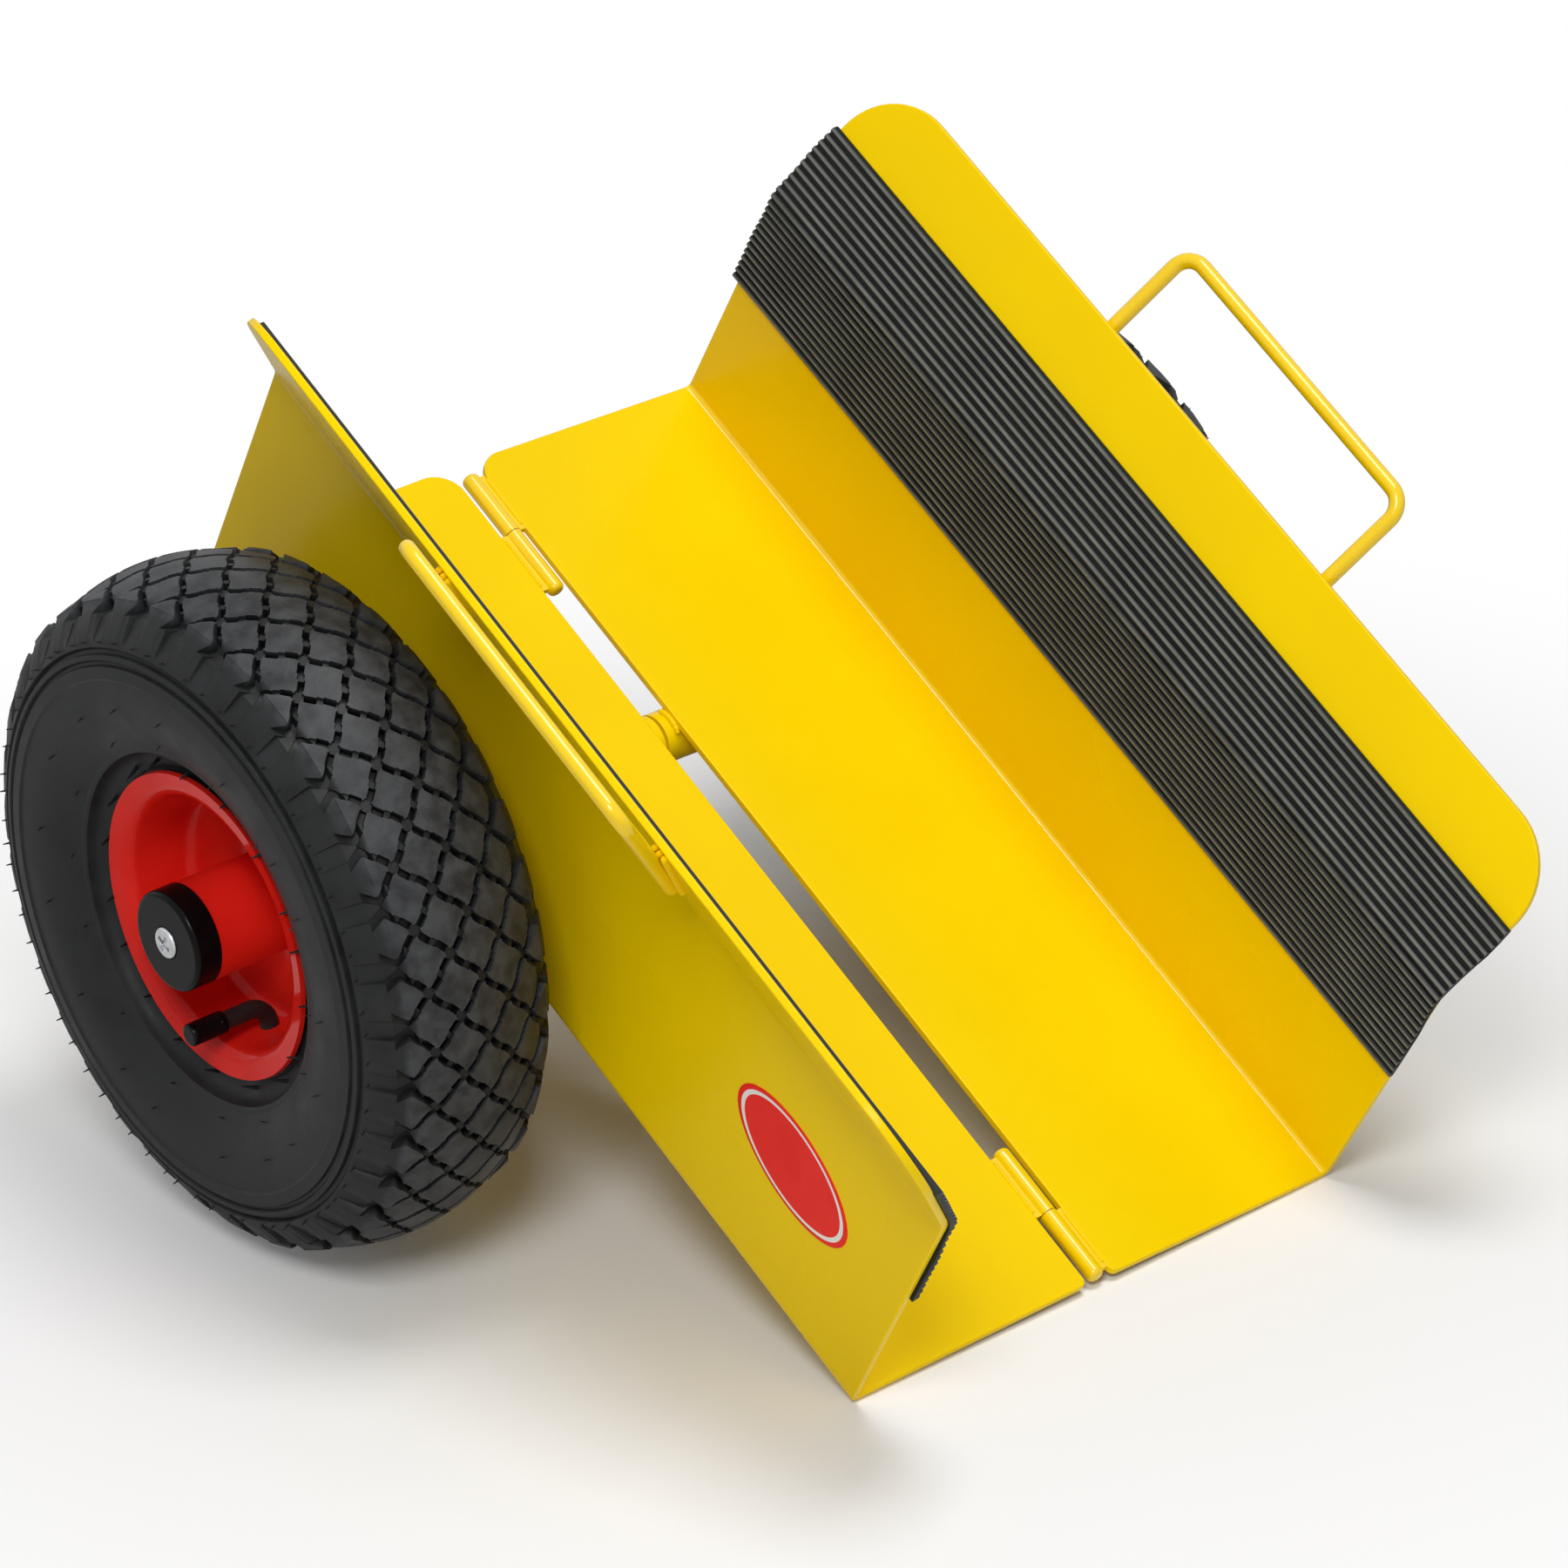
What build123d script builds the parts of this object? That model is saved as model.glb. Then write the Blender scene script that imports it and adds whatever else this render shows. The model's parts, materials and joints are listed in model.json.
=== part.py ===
"""Folding panel dolly: two bent steel jaws hinged together, each on its own air-filled wheel.

Everything is drawn in the deck frame, in millimetres: X across the dolly with the right half at
+X, Y along the hinge with the far end at +Y, and Z up from the deck plates. The origin is the
middle of the hinge axis, which lies in the mid-plane of the deck plates. The right half is drawn
piece by piece and the left half is its mirror image, apart from the hinge knuckles, which
interleave. At the end the halves open down from the hinge into a shallow roof, and the dolly is
tipped on to its near corners and its two wheels, as it stands.
"""

import os
from math import acos, asin, atan2, cos, degrees, hypot, pi, radians, sin, sqrt, tan

from build123d import *

os.makedirs("parts", exist_ok=True)

# Folded plates: deck, wall and lip are one bent sheet
plate_length = 410.0
sheet = 3.0
deck_width = 111.1
wall_height = 109.5
lip_length = 65.0
lip_flare = radians(32.0)
deck_bend = 2.0
lip_bend = 8.0
lip_corner = 29.0
far_deck_corner = 12.0
near_deck_corner = 3.0
edge_round = 0.6

# Hinge between the two decks, which open past flat to a shallow roof
roof = radians(1.5)
pin_radius = 2.2
pin_clearance = 0.05
pin_end_play = 0.3
knuckle_wall = 1.2
knuckle_clearance = 2.45
knuckle_length = 30.0
knuckle_end = 3.0
knuckle_round = 2.0
near_knuckle_inset = 1.0
far_knuckle_inset = 6.0
knuckle_gap = 0.4
web_height = 2.4
web_bite = 0.6

# Ribbed rubber mats
mat_base = 1.6
rib_radius = 1.3
rib_count = 24
mat_on_wall = 47.0
mat_on_lip = 36.0
glue_line = 0.05

# Carrying handles of bent rod, welded to the outside of the lips
rod_radius = 3.0
handle_span = 130.5
handle_middle = 6.0
leg_on_lip = 36.0
leg_above_lip = 39.0
handle_lean = radians(3.0)
handle_bend = 8.5
weld_gap = 0.1

# Axle bars under the decks, whose inner ends meet when the jaws are open
axle_radius = 10.0
axle_place = 71.0
butt_gap = 0.3
axle_chamfer = 1.0
collar_wall = 6.0
collar_width = 5.0
washer_wall = 7.0
washer_thickness = 1.5
seat_clearance = 0.05

# Wheel: hub, rollers and pressed rim
wheel_gap = 17.0
hub_length = 70.0
hub_wall = 5.0
end_play = 0.4
roller_radius = 1.95
roller_clearance = 0.05
roller_count = 9
cage_inset = 2.0
cage_gap = 10.0
cage_end = 3.0
cage_clearance = 0.6
pocket_clearance = 0.25
rim_sheet = 2.0
well_radius = 46.0
seat_rise = 3.0
flange_height = 9.5
flange_splay = 2.0
well_bend = 5.0
flange_bend = 6.0

# Wheel: tyre and inner tube
tyre_radius = 130.0
tyre_width = 85.0
tyre_overhang = 14.8
shoulder_inset = 9.9
crown_drop = 10.0
belly_drop = 37.0
tread_thickness = 8.5
tyre_wall = 6.0
bead_width = 12.3
bead_fit = 0.2
bead_lip = 1.5
bead_slope = radians(33.0)
cavity_below_flange = 2.5
tube_gap = 0.5
tube_wall = 2.0

# Wheel: tread blocks, left standing between slanted grooves and shoulder notches
tread_count = 34
tread_phase = radians(3.66)
groove_width = 2.2
groove_depth = 2.8
groove_slant = radians(48.0)
groove_runout = 1.3
notch_inset = 6.4
notch_width = 11.4
cutter_sink = 24.0
cutter_margin = 2.0

# Wheel: bent rubber valve
valve_angle = radians(234.0)
valve_side_gap = 3.0
valve_reach = 40.0
valve_clearance = 8.0
valve_bend = 8.0
stem_radius = 3.5
stem_tip_radius = 2.6
stem_tip_length = 12.0
valve_cap_wall = 1.6
valve_cap_end = 2.9
valve_cap_round = 0.65
hole_clearance = 0.1

# Hub cap and its screw
cap_overlap = 0.2
cap_thickness = 10.5
cap_round = 2.0
screw_radius = 2.95
screw_depth = 14.0
screw_clearance = 0.05
screw_head_radius = 6.0
screw_head_height = 3.0
screw_head_proud = 1.2
recess_clearance = 0.3
cross_width = 1.6
cross_margin = 2.5
cross_depth = 1.4

# Hinge and plate places
pin_bore = pin_radius + pin_clearance
knuckle_radius = pin_bore + knuckle_wall
hinge_gap = 2 * (knuckle_radius + knuckle_clearance)
wall_x = hinge_gap / 2 + deck_width
lip_sin, lip_cos = sin(lip_flare), cos(lip_flare)
lip_tip = (wall_x + lip_length * lip_sin, wall_height + lip_length * lip_cos)

# Axle and wheel places
axle_z = -(sheet / 2 + weld_gap + axle_radius)
axle_start = butt_gap / 2 + (axle_radius - axle_z) * tan(roof)
wheel_x = wall_x + wheel_gap + tyre_width / 2
hub_end = hub_length / 2
axle_end = wheel_x + hub_end + end_play
hub_bore = axle_radius + 2 * (roller_radius + roller_clearance)
hub_radius = hub_bore + hub_wall
pitch_radius = (axle_radius + hub_bore) / 2
cage_length = hub_end - cage_inset - cage_gap / 2
cage_offset = (cage_length + cage_gap) / 2
roller_length = cage_length - 2 * cage_end
washer_x = wheel_x - hub_end - end_play - washer_thickness
collar_x = washer_x - collar_width

# Rim and tyre places
rim_half_width = tyre_width / 2 - tyre_overhang
seat_radius = well_radius + seat_rise
flange_radius = seat_radius + flange_height
tread_half_width = tyre_width / 2 - shoulder_inset
belly_radius = tyre_radius - belly_drop
bead_face = rim_half_width - rim_sheet - 2 * bead_fit
bead_toe = bead_face - bead_width
bead_corner = flange_bend - rim_sheet
cavity_half_width = tyre_width / 2 - tyre_wall
cavity_height = belly_drop - tread_thickness
cavity_depth = belly_radius - flange_radius + cavity_below_flange

# Tread places
tread_pitch = 2 * pi / tread_count
crown_radius = (tread_half_width**2 + crown_drop**2) / (2 * crown_drop)
crown_turn = asin(tread_half_width / crown_radius)
floor_radius = crown_radius - groove_depth
floor_end = (
    floor_radius * sin(crown_turn),
    tyre_radius - crown_radius + floor_radius * cos(crown_turn),
)
notch_start = tread_half_width - notch_inset
notch_length = tyre_width / 2 + cutter_margin - notch_start
groove_length = 2 * (notch_start + groove_runout) / cos(groove_slant)
cutter_base = tyre_radius - cutter_sink
floor_base = cutter_base - cutter_margin
notch_fall = floor_end[1] - floor_base

# Valve and screw places
valve_offset = rim_sheet + valve_side_gap + stem_radius
valve_depth = well_radius - valve_clearance
valve_cap_radius = stem_tip_radius + hole_clearance + valve_cap_wall
valve_cap_length = stem_tip_length + hole_clearance + valve_cap_end
cap_radius = hub_radius + cap_overlap
tapped_radius = screw_radius + screw_clearance
cross_length = 2 * (screw_head_radius - cross_margin)

wheel_section = Plane(origin=(wheel_x, axle_place, axle_z), x_dir=(1, 0, 0), z_dir=(0, -1, 0))
wheel_axis = Axis((wheel_x, axle_place, axle_z), (1, 0, 0))


def across(x):
    """Plane square to the axle at x, facing outboard, centred on the axle's axis."""
    return Plane(origin=(x, axle_place, axle_z), x_dir=(0, 1, 0), z_dir=(1, 0, 0))


def inside_bend(depth):
    """Corner between wall and lip on a surface that lies this deep inside their outer faces."""
    return (wall_x - depth, wall_height + depth * tan(lip_flare / 2))


def along_lip(depth, distance):
    """Point on that surface, this far up the lip from the corner."""
    corner = inside_bend(depth)
    return (corner[0] + distance * lip_sin, corner[1] + distance * lip_cos)


def seat(offset_from_middle):
    """Radius of the rim's bead seat, which tapers from the well out to the flange."""
    taper = (seat_radius - well_radius) / (rim_half_width - rim_sheet)
    thickness = rim_sheet * sqrt(1 + taper * taper)
    return well_radius + thickness + taper * (offset_from_middle - rim_sheet)


# Plate: one sheet bent up at the wall and out at the lip, with rounded corners and edges
with BuildPart() as right_plate:
    with BuildSketch(Plane.XZ):
        with BuildLine():
            outer_face = FilletPolyline(
                (hinge_gap / 2, -sheet / 2),
                (wall_x, -sheet / 2),
                (wall_x, wall_height),
                lip_tip,
                radius=(deck_bend + sheet, lip_bend),
            )
            offset(outer_face, amount=sheet, side=Side.LEFT)
        make_face()
    extrude(amount=plate_length / 2, both=True)
    deck_corners = right_plate.edges().filter_by(Axis.Z).group_by(Axis.X)[0].sort_by(Axis.Y)
    fillet(deck_corners[0], radius=near_deck_corner)
    far_corner = right_plate.edges().filter_by(Axis.Z).group_by(Axis.X)[0].sort_by(Axis.Y)[-1]
    fillet(far_corner, radius=far_deck_corner)
    lip_corners = right_plate.edges().filter_by(Axis((0, 0, 0), (lip_cos, 0, -lip_sin)))
    fillet(lip_corners, radius=lip_corner)
    outline = right_plate.faces().filter_by(Axis.Y).edges()
    fillet(outline, radius=edge_round)

# Grip mat: a ribbed strip bonded over the bend between wall and lip
mat_back = sheet + glue_line
mat_front = mat_back + mat_base
with BuildPart() as right_grip_mat:
    with BuildSketch(Plane.XZ):
        with BuildLine():
            front_face = FilletPolyline(
                (wall_x - mat_front, inside_bend(mat_front)[1] - mat_on_wall),
                inside_bend(mat_front),
                along_lip(mat_front, mat_on_lip),
                radius=lip_bend + mat_front,
            )
            offset(front_face, amount=mat_base, side=Side.RIGHT)
        make_face()
        for rib in range(rib_count):
            with Locations(front_face @ ((rib + 0.5) / rib_count)):
                Circle(rib_radius)
    extrude(amount=plate_length / 2, both=True)

# Handle: a rod bent into a shallow U, its feet on the lip's outer face
leg_angle = lip_flare + handle_lean
foot_x = lip_tip[0] - leg_on_lip * lip_sin + (rod_radius + weld_gap) * lip_cos
foot_z = lip_tip[1] - leg_on_lip * lip_cos - (rod_radius + weld_gap) * lip_sin
leg_length = leg_on_lip + leg_above_lip
bar_x = foot_x + leg_length * sin(leg_angle)
bar_z = foot_z + leg_length * cos(leg_angle)
far_leg = handle_middle + handle_span / 2
near_leg = handle_middle - handle_span / 2
with BuildPart() as right_handle:
    with BuildLine():
        FilletPolyline(
            (foot_x, far_leg, foot_z),
            (bar_x, far_leg, bar_z),
            (bar_x, near_leg, bar_z),
            (foot_x, near_leg, foot_z),
            radius=handle_bend,
        )
    with BuildSketch(
        Plane(origin=(foot_x, far_leg, foot_z), z_dir=(sin(leg_angle), 0, cos(leg_angle)))
    ):
        Circle(rod_radius)
    sweep()

# Axle: a bar along the deck's underside and out through the wheel, tapped at its outer end
with BuildPart() as right_axle:
    with BuildSketch(across(axle_start)):
        Circle(axle_radius)
    extrude(amount=axle_end - axle_start)
    chamfer(right_axle.edges().sort_by(Axis.X)[-1], length=axle_chamfer)
    with BuildSketch(across(axle_end)):
        Circle(tapped_radius)
    extrude(amount=-(screw_depth + screw_head_height), mode=Mode.SUBTRACT)

# Collar welded on the axle, which keeps the wheel off the wall
with BuildPart() as right_axle_collar:
    with BuildSketch(across(collar_x)):
        Circle(axle_radius + collar_wall)
        Circle(axle_radius + seat_clearance, mode=Mode.SUBTRACT)
    extrude(amount=collar_width)

# Nylon washer between the collar and the hub
with BuildPart() as right_thrust_washer:
    with BuildSketch(across(washer_x)):
        Circle(axle_radius + washer_wall)
        Circle(axle_radius + seat_clearance, mode=Mode.SUBTRACT)
    extrude(amount=washer_thickness)

# Hub tube, which the rollers run in
with BuildPart() as right_hub_tube:
    with BuildSketch(across(wheel_x - hub_end)):
        Circle(hub_radius)
        Circle(hub_bore, mode=Mode.SUBTRACT)
    extrude(amount=hub_length)

# Roller cages: a sleeve near each end of the hub with a pocket for each roller
with BuildPart() as right_roller_cages:
    for cage_x in (wheel_x - cage_offset, wheel_x + cage_offset):
        with BuildSketch(across(cage_x)):
            Circle(hub_bore - cage_clearance)
            Circle(axle_radius + cage_clearance, mode=Mode.SUBTRACT)
        extrude(amount=cage_length / 2, both=True)
        with BuildSketch(across(cage_x)):
            with PolarLocations(pitch_radius, roller_count):
                Circle(roller_radius + pocket_clearance)
        extrude(amount=roller_length / 2 + pocket_clearance, both=True, mode=Mode.SUBTRACT)

# Rollers between axle and hub
with BuildPart() as right_rollers:
    for cage_x in (wheel_x - cage_offset, wheel_x + cage_offset):
        with BuildSketch(across(cage_x)):
            with PolarLocations(pitch_radius, roller_count):
                Circle(roller_radius)
        extrude(amount=roller_length / 2, both=True)

# Rim: two pressed halves back to back, each a disc, a barrel and a flange
valve_direction = (0, cos(valve_angle), sin(valve_angle))
valve_plane = Plane(
    origin=(wheel_x + valve_offset, axle_place, axle_z),
    x_dir=(1, 0, 0),
    z_dir=valve_direction,
)
with BuildPart() as right_rim_outer:
    with BuildSketch(wheel_section):
        with BuildLine():
            shown_face = FilletPolyline(
                (rim_sheet, hub_radius + seat_clearance),
                (rim_sheet, well_radius),
                (rim_half_width, seat_radius),
                (rim_half_width + flange_splay, flange_radius),
                radius=(well_bend, flange_bend),
            )
            offset(shown_face, amount=rim_sheet, side=Side.LEFT)
        make_face()
    revolve(axis=wheel_axis)
with BuildPart() as right_rim_inner:
    mirror(right_rim_outer.part, about=Plane.YZ.offset(wheel_x))
with BuildPart(mode=Mode.PRIVATE) as valve_hole:
    with BuildSketch(valve_plane):
        Circle(stem_radius + hole_clearance)
    extrude(amount=flange_radius)
with right_rim_outer:
    add(valve_hole.part, mode=Mode.SUBTRACT)

# Tyre: crown, shoulders and sidewalls down to the beads, hollow inside
bead_turn = degrees(acos(bead_toe / cavity_half_width))
bead_top = belly_radius - cavity_depth * sin(radians(bead_turn))
with BuildPart() as right_tyre:
    with BuildSketch(wheel_section):
        with BuildLine():
            crown = TangentArc(
                (0, tyre_radius),
                (tread_half_width, tyre_radius - crown_drop),
                tangent=(1, 0),
            )
            Spline(
                (tread_half_width, tyre_radius - crown_drop),
                (tyre_width / 2, belly_radius),
                tangents=(crown % 1, (0, -1)),
            )
            Spline(
                (tyre_width / 2, belly_radius),
                (bead_face, flange_radius + bead_lip),
                tangents=((0, -1), (-cos(bead_slope), -sin(bead_slope))),
            )
            Polyline(
                (bead_face, flange_radius + bead_lip),
                (bead_face, seat(bead_face) + bead_fit + bead_corner),
                (bead_face - bead_corner, seat(bead_face - bead_corner) + bead_fit),
                (bead_toe, seat(bead_toe) + bead_fit),
                (bead_toe, bead_top),
            )
            EllipticalCenterArc(
                (0, belly_radius),
                cavity_half_width,
                cavity_depth,
                start_angle=-bead_turn,
                arc_size=bead_turn,
            )
            EllipticalCenterArc(
                (0, belly_radius), cavity_half_width, cavity_height, start_angle=0, arc_size=90
            )
            mirror(about=Plane.YZ)
        make_face()
    revolve(axis=wheel_axis)


def tread_plane(slant):
    """Plane under the crown, facing outwards, with its x turned from the axle by this slant."""
    return Plane(
        origin=(wheel_x, axle_place + cutter_base, axle_z),
        x_dir=(cos(slant), 0, sin(slant)),
        z_dir=(0, 1, 0),
    )


# Tread: crossed grooves and a notch outboard of each outer block, cut down to an even floor
with BuildPart(mode=Mode.PRIVATE) as tread_floor:
    with BuildSketch(wheel_section):
        with BuildLine():
            TangentArc((0, tyre_radius - groove_depth), floor_end, tangent=(1, 0))
            Polyline(floor_end, (floor_end[0] + notch_fall, floor_base), (0, floor_base))
            mirror(about=Plane.YZ)
        make_face()
    revolve(axis=wheel_axis)
with BuildPart(mode=Mode.PRIVATE) as groove_cross:
    for slant in (groove_slant, -groove_slant):
        with BuildSketch(tread_plane(slant)):
            Rectangle(groove_length, groove_width)
        extrude(amount=cutter_sink + cutter_margin)
with BuildPart(mode=Mode.PRIVATE) as notch_pair:
    with BuildSketch(tread_plane(0)):
        for side in (1, -1):
            with Locations((side * (notch_start + notch_length / 2), 0)):
                Rectangle(notch_length, notch_width)
    extrude(amount=cutter_sink + cutter_margin)
tread_turns = [degrees(tread_phase + place * tread_pitch) for place in range(tread_count)]
half_pitch = degrees(tread_pitch / 2)
with BuildPart(mode=Mode.PRIVATE) as tread_cuts:
    add([groove_cross.part.rotate(wheel_axis, turn) for turn in tread_turns])
    add([notch_pair.part.rotate(wheel_axis, turn + half_pitch) for turn in tread_turns])
    add(tread_floor.part, mode=Mode.SUBTRACT)
with right_tyre:
    add(tread_cuts.part, mode=Mode.SUBTRACT)

# Inner tube: a hollow ring just inside the tyre's cavity
with BuildPart() as right_inner_tube:
    for inset, how in ((tube_gap, Mode.ADD), (tube_gap + tube_wall, Mode.SUBTRACT)):
        with BuildSketch(wheel_section):
            with BuildLine():
                EllipticalCenterArc(
                    (0, belly_radius),
                    cavity_half_width - inset,
                    cavity_height - inset,
                    start_angle=0,
                    arc_size=180,
                )
                EllipticalCenterArc(
                    (0, belly_radius),
                    cavity_half_width - inset,
                    cavity_depth - inset - bead_lip,
                    start_angle=180,
                    arc_size=180,
                )
            make_face()
        revolve(axis=wheel_axis, mode=how)

# Valve stem: from the inner tube through the rim, then bent outboard, with a thinner tip
stem_base = belly_radius - cavity_depth + bead_lip + tube_gap
stem_turn = valve_plane.from_local_coords((0, 0, valve_depth))
stem_end_x = wheel_x + valve_reach - stem_tip_length
tip_plane = Plane(
    origin=(stem_end_x, stem_turn.Y, stem_turn.Z), x_dir=(0, 1, 0), z_dir=(1, 0, 0)
)
with BuildPart() as right_valve_stem:
    with BuildLine():
        FilletPolyline(
            valve_plane.from_local_coords((0, 0, stem_base)),
            stem_turn,
            (stem_end_x, stem_turn.Y, stem_turn.Z),
            radius=valve_bend,
        )
    with BuildSketch(valve_plane.offset(stem_base)):
        Circle(stem_radius)
    sweep()
    with BuildSketch(tip_plane):
        Circle(stem_tip_radius)
    extrude(amount=stem_tip_length)

# Valve cap, screwed over the stem's tip
with BuildPart() as right_valve_cap:
    with BuildSketch(tip_plane):
        Circle(valve_cap_radius)
    extrude(amount=valve_cap_length)
    fillet(right_valve_cap.edges().sort_by(Axis.X)[-1], radius=valve_cap_round)
    with BuildSketch(tip_plane):
        Circle(stem_tip_radius + hole_clearance)
    extrude(amount=stem_tip_length + hole_clearance, mode=Mode.SUBTRACT)

# Hub cap, clamped on the axle's end, with a sunk seat for the screw
recess_depth = screw_head_height - screw_head_proud
with BuildPart() as right_hub_cap:
    with BuildSketch(across(axle_end)):
        Circle(cap_radius)
    extrude(amount=cap_thickness)
    fillet(right_hub_cap.edges().sort_by(Axis.X)[-1], radius=cap_round)
    with BuildSketch(across(axle_end)):
        Circle(tapped_radius + recess_clearance)
    extrude(amount=cap_thickness, mode=Mode.SUBTRACT)
    with BuildSketch(across(axle_end + cap_thickness)):
        Circle(screw_head_radius + recess_clearance)
    extrude(amount=-recess_depth, mode=Mode.SUBTRACT)

# Cap screw with a domed cross-slot head
head_x = axle_end + cap_thickness - recess_depth
with BuildPart() as right_cap_screw:
    with BuildSketch(across(head_x)):
        Circle(screw_head_radius)
    extrude(amount=screw_head_height)
    fillet(right_cap_screw.edges().sort_by(Axis.X)[-1], radius=screw_head_proud)
    with BuildSketch(across(head_x)):
        Circle(screw_radius)
    extrude(amount=-(head_x - axle_end + screw_depth))
    with BuildSketch(across(head_x + screw_head_height)):
        Rectangle(cross_length, cross_width)
        Rectangle(cross_width, cross_length)
    extrude(amount=-cross_depth, mode=Mode.SUBTRACT)

# Hinge knuckles: weld-on barrels, the outer pair on the right deck and the inner pair on the left
far_outer = plate_length / 2 - far_knuckle_inset - knuckle_length
near_outer = near_knuckle_inset + knuckle_length - plate_length / 2
far_inner = far_outer - knuckle_gap
near_inner = near_outer + knuckle_gap


def knuckle(side, open_end, way):
    """Barrel for the right or left deck, bored from its open end and round at the other, with a weld web."""
    closed_end = open_end + way * knuckle_length
    bore_end = closed_end - way * knuckle_end
    web_start = pin_bore + web_bite
    web_width = hinge_gap / 2 - web_start
    web_length = knuckle_length - knuckle_round
    with BuildPart() as barrel:
        with BuildSketch(Plane.XY):
            with BuildLine():
                FilletPolyline(
                    (0, closed_end),
                    (knuckle_radius, closed_end),
                    (knuckle_radius, open_end),
                    radius=knuckle_round,
                )
                Polyline(
                    (knuckle_radius, open_end),
                    (pin_bore, open_end),
                    (pin_bore, bore_end),
                    (0, bore_end),
                    (0, closed_end),
                )
            make_face()
        revolve(axis=Axis.Y)
        with Locations((side * (web_start + web_width / 2), open_end + way * web_length / 2, 0)):
            Box(web_width, web_length, web_height)
    return barrel.part


with BuildPart() as right_knuckles:
    add(knuckle(1, far_outer, 1))
    add(knuckle(1, near_outer, -1))
with BuildPart() as left_knuckles:
    add(knuckle(-1, far_inner, -1))
    add(knuckle(-1, near_inner, 1))

# Hinge pins, one inside each pair of knuckles
pin_reach = knuckle_length - knuckle_end - pin_end_play
pin_length = 2 * pin_reach + knuckle_gap
with BuildPart() as hinge_pins:
    for pin_middle in ((far_inner + far_outer) / 2, (near_inner + near_outer) / 2):
        with Locations((0, pin_middle, 0)):
            Cylinder(pin_radius, pin_length, rotation=(90, 0, 0))

# The right-hand pieces by name
right_half = {
    "plate": right_plate,
    "grip_mat": right_grip_mat,
    "handle": right_handle,
    "axle": right_axle,
    "axle_collar": right_axle_collar,
    "thrust_washer": right_thrust_washer,
    "hub_cap": right_hub_cap,
    "cap_screw": right_cap_screw,
    "hub_tube": right_hub_tube,
    "roller_cages": right_roller_cages,
    "rollers": right_rollers,
    "rim_outer": right_rim_outer,
    "rim_inner": right_rim_inner,
    "tyre": right_tyre,
    "inner_tube": right_inner_tube,
    "valve_stem": right_valve_stem,
    "valve_cap": right_valve_cap,
}

# Opening: each half turns down about the hinge, and the left half mirrors the right one
turn_right = Rot(0, degrees(roof), 0)
turn_left = Rot(0, -degrees(roof), 0)
pieces = {
    "right_knuckles": turn_right * right_knuckles.part,
    "left_knuckles": turn_left * left_knuckles.part,
    "hinge_pins": hinge_pins.part,
}
for piece_name, built in right_half.items():
    with BuildPart() as mirrored:
        mirror(built.part, about=Plane.YZ)
    pieces["right_" + piece_name] = turn_right * built.part
    pieces["left_" + piece_name] = turn_left * mirrored.part

# Stance: tipped about X until the decks' near corners and the tyres stand on one level, then
# moved so that the origin is the middle of the box's underside
bend_middle_x = wall_x - deck_bend - sheet
bend_middle_z = deck_bend + sheet / 2
corner_low = bend_middle_z * cos(roof) - bend_middle_x * sin(roof) - deck_bend - sheet
axle_low = axle_z * cos(roof) - wheel_x * sin(roof)
reach = axle_place + plate_length / 2 - edge_round
drop = corner_low + edge_round - axle_low
rise = tyre_radius - edge_round
tilt = degrees(asin(rise / hypot(reach, drop)) + atan2(drop, reach))
tipped = {name: Rot(tilt, 0, 0) * piece for name, piece in pieces.items()}
box = Compound(list(tipped.values())).bounding_box()
stand = Pos(-box.center().X, -box.center().Y, -box.min.Z)
for piece_name, piece in tipped.items():
    standing = stand * piece
    standing.label = piece_name
    export_step(standing, f"parts/{piece_name}.step")

print(f"tilt {tilt:.4f} degrees, hinge middle at {stand.position}, box {box.size}")
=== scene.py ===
# %% [markdown]
# # A folding panel dolly
# The dolly is two bent steel jaws, hinged along the deck, each on its own air-filled wheel. The CAD frame
# brings every piece at its real size. This lesson dresses it: the soft rubber pieces are worked out again
# as fine surfaces, the weld beads, vent hairs and label are added, and every surface gets its real finish.

# %% Load the frame
import json
import math

import bpy
import numpy as np
from mathutils import Matrix, Vector


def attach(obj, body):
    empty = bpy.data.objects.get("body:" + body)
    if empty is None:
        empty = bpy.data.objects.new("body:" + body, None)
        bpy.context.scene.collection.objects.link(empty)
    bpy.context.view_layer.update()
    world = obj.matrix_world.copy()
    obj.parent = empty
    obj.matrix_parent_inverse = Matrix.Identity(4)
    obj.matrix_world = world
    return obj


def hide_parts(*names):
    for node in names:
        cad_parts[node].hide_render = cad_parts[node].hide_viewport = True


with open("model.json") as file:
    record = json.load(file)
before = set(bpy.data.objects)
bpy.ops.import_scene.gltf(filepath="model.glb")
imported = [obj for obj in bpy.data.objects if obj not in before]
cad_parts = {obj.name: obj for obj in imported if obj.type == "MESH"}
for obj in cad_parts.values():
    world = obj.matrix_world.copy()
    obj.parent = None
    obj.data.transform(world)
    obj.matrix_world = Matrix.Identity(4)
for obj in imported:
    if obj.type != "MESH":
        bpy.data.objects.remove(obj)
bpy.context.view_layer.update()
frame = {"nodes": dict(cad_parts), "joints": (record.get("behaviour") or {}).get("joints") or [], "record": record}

# %% [markdown]
# ## Where things are
# A jaw is easiest to think of flat: u runs outboard across its deck, v along the hinge and w up from the
# deck. The joints give those directions, because the hinge is the fold joint's axis and the axle is the
# wheel joint's axis. So a size read off the flat drawing lands in the right place on the open, tipped dolly.

# %% Frames of the two halves and wheels
MM = 0.001
SIDES = ("right", "left")


def unit(vector):
    """The same direction with a length of one."""
    return np.asarray(vector, float) / np.linalg.norm(vector)


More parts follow.
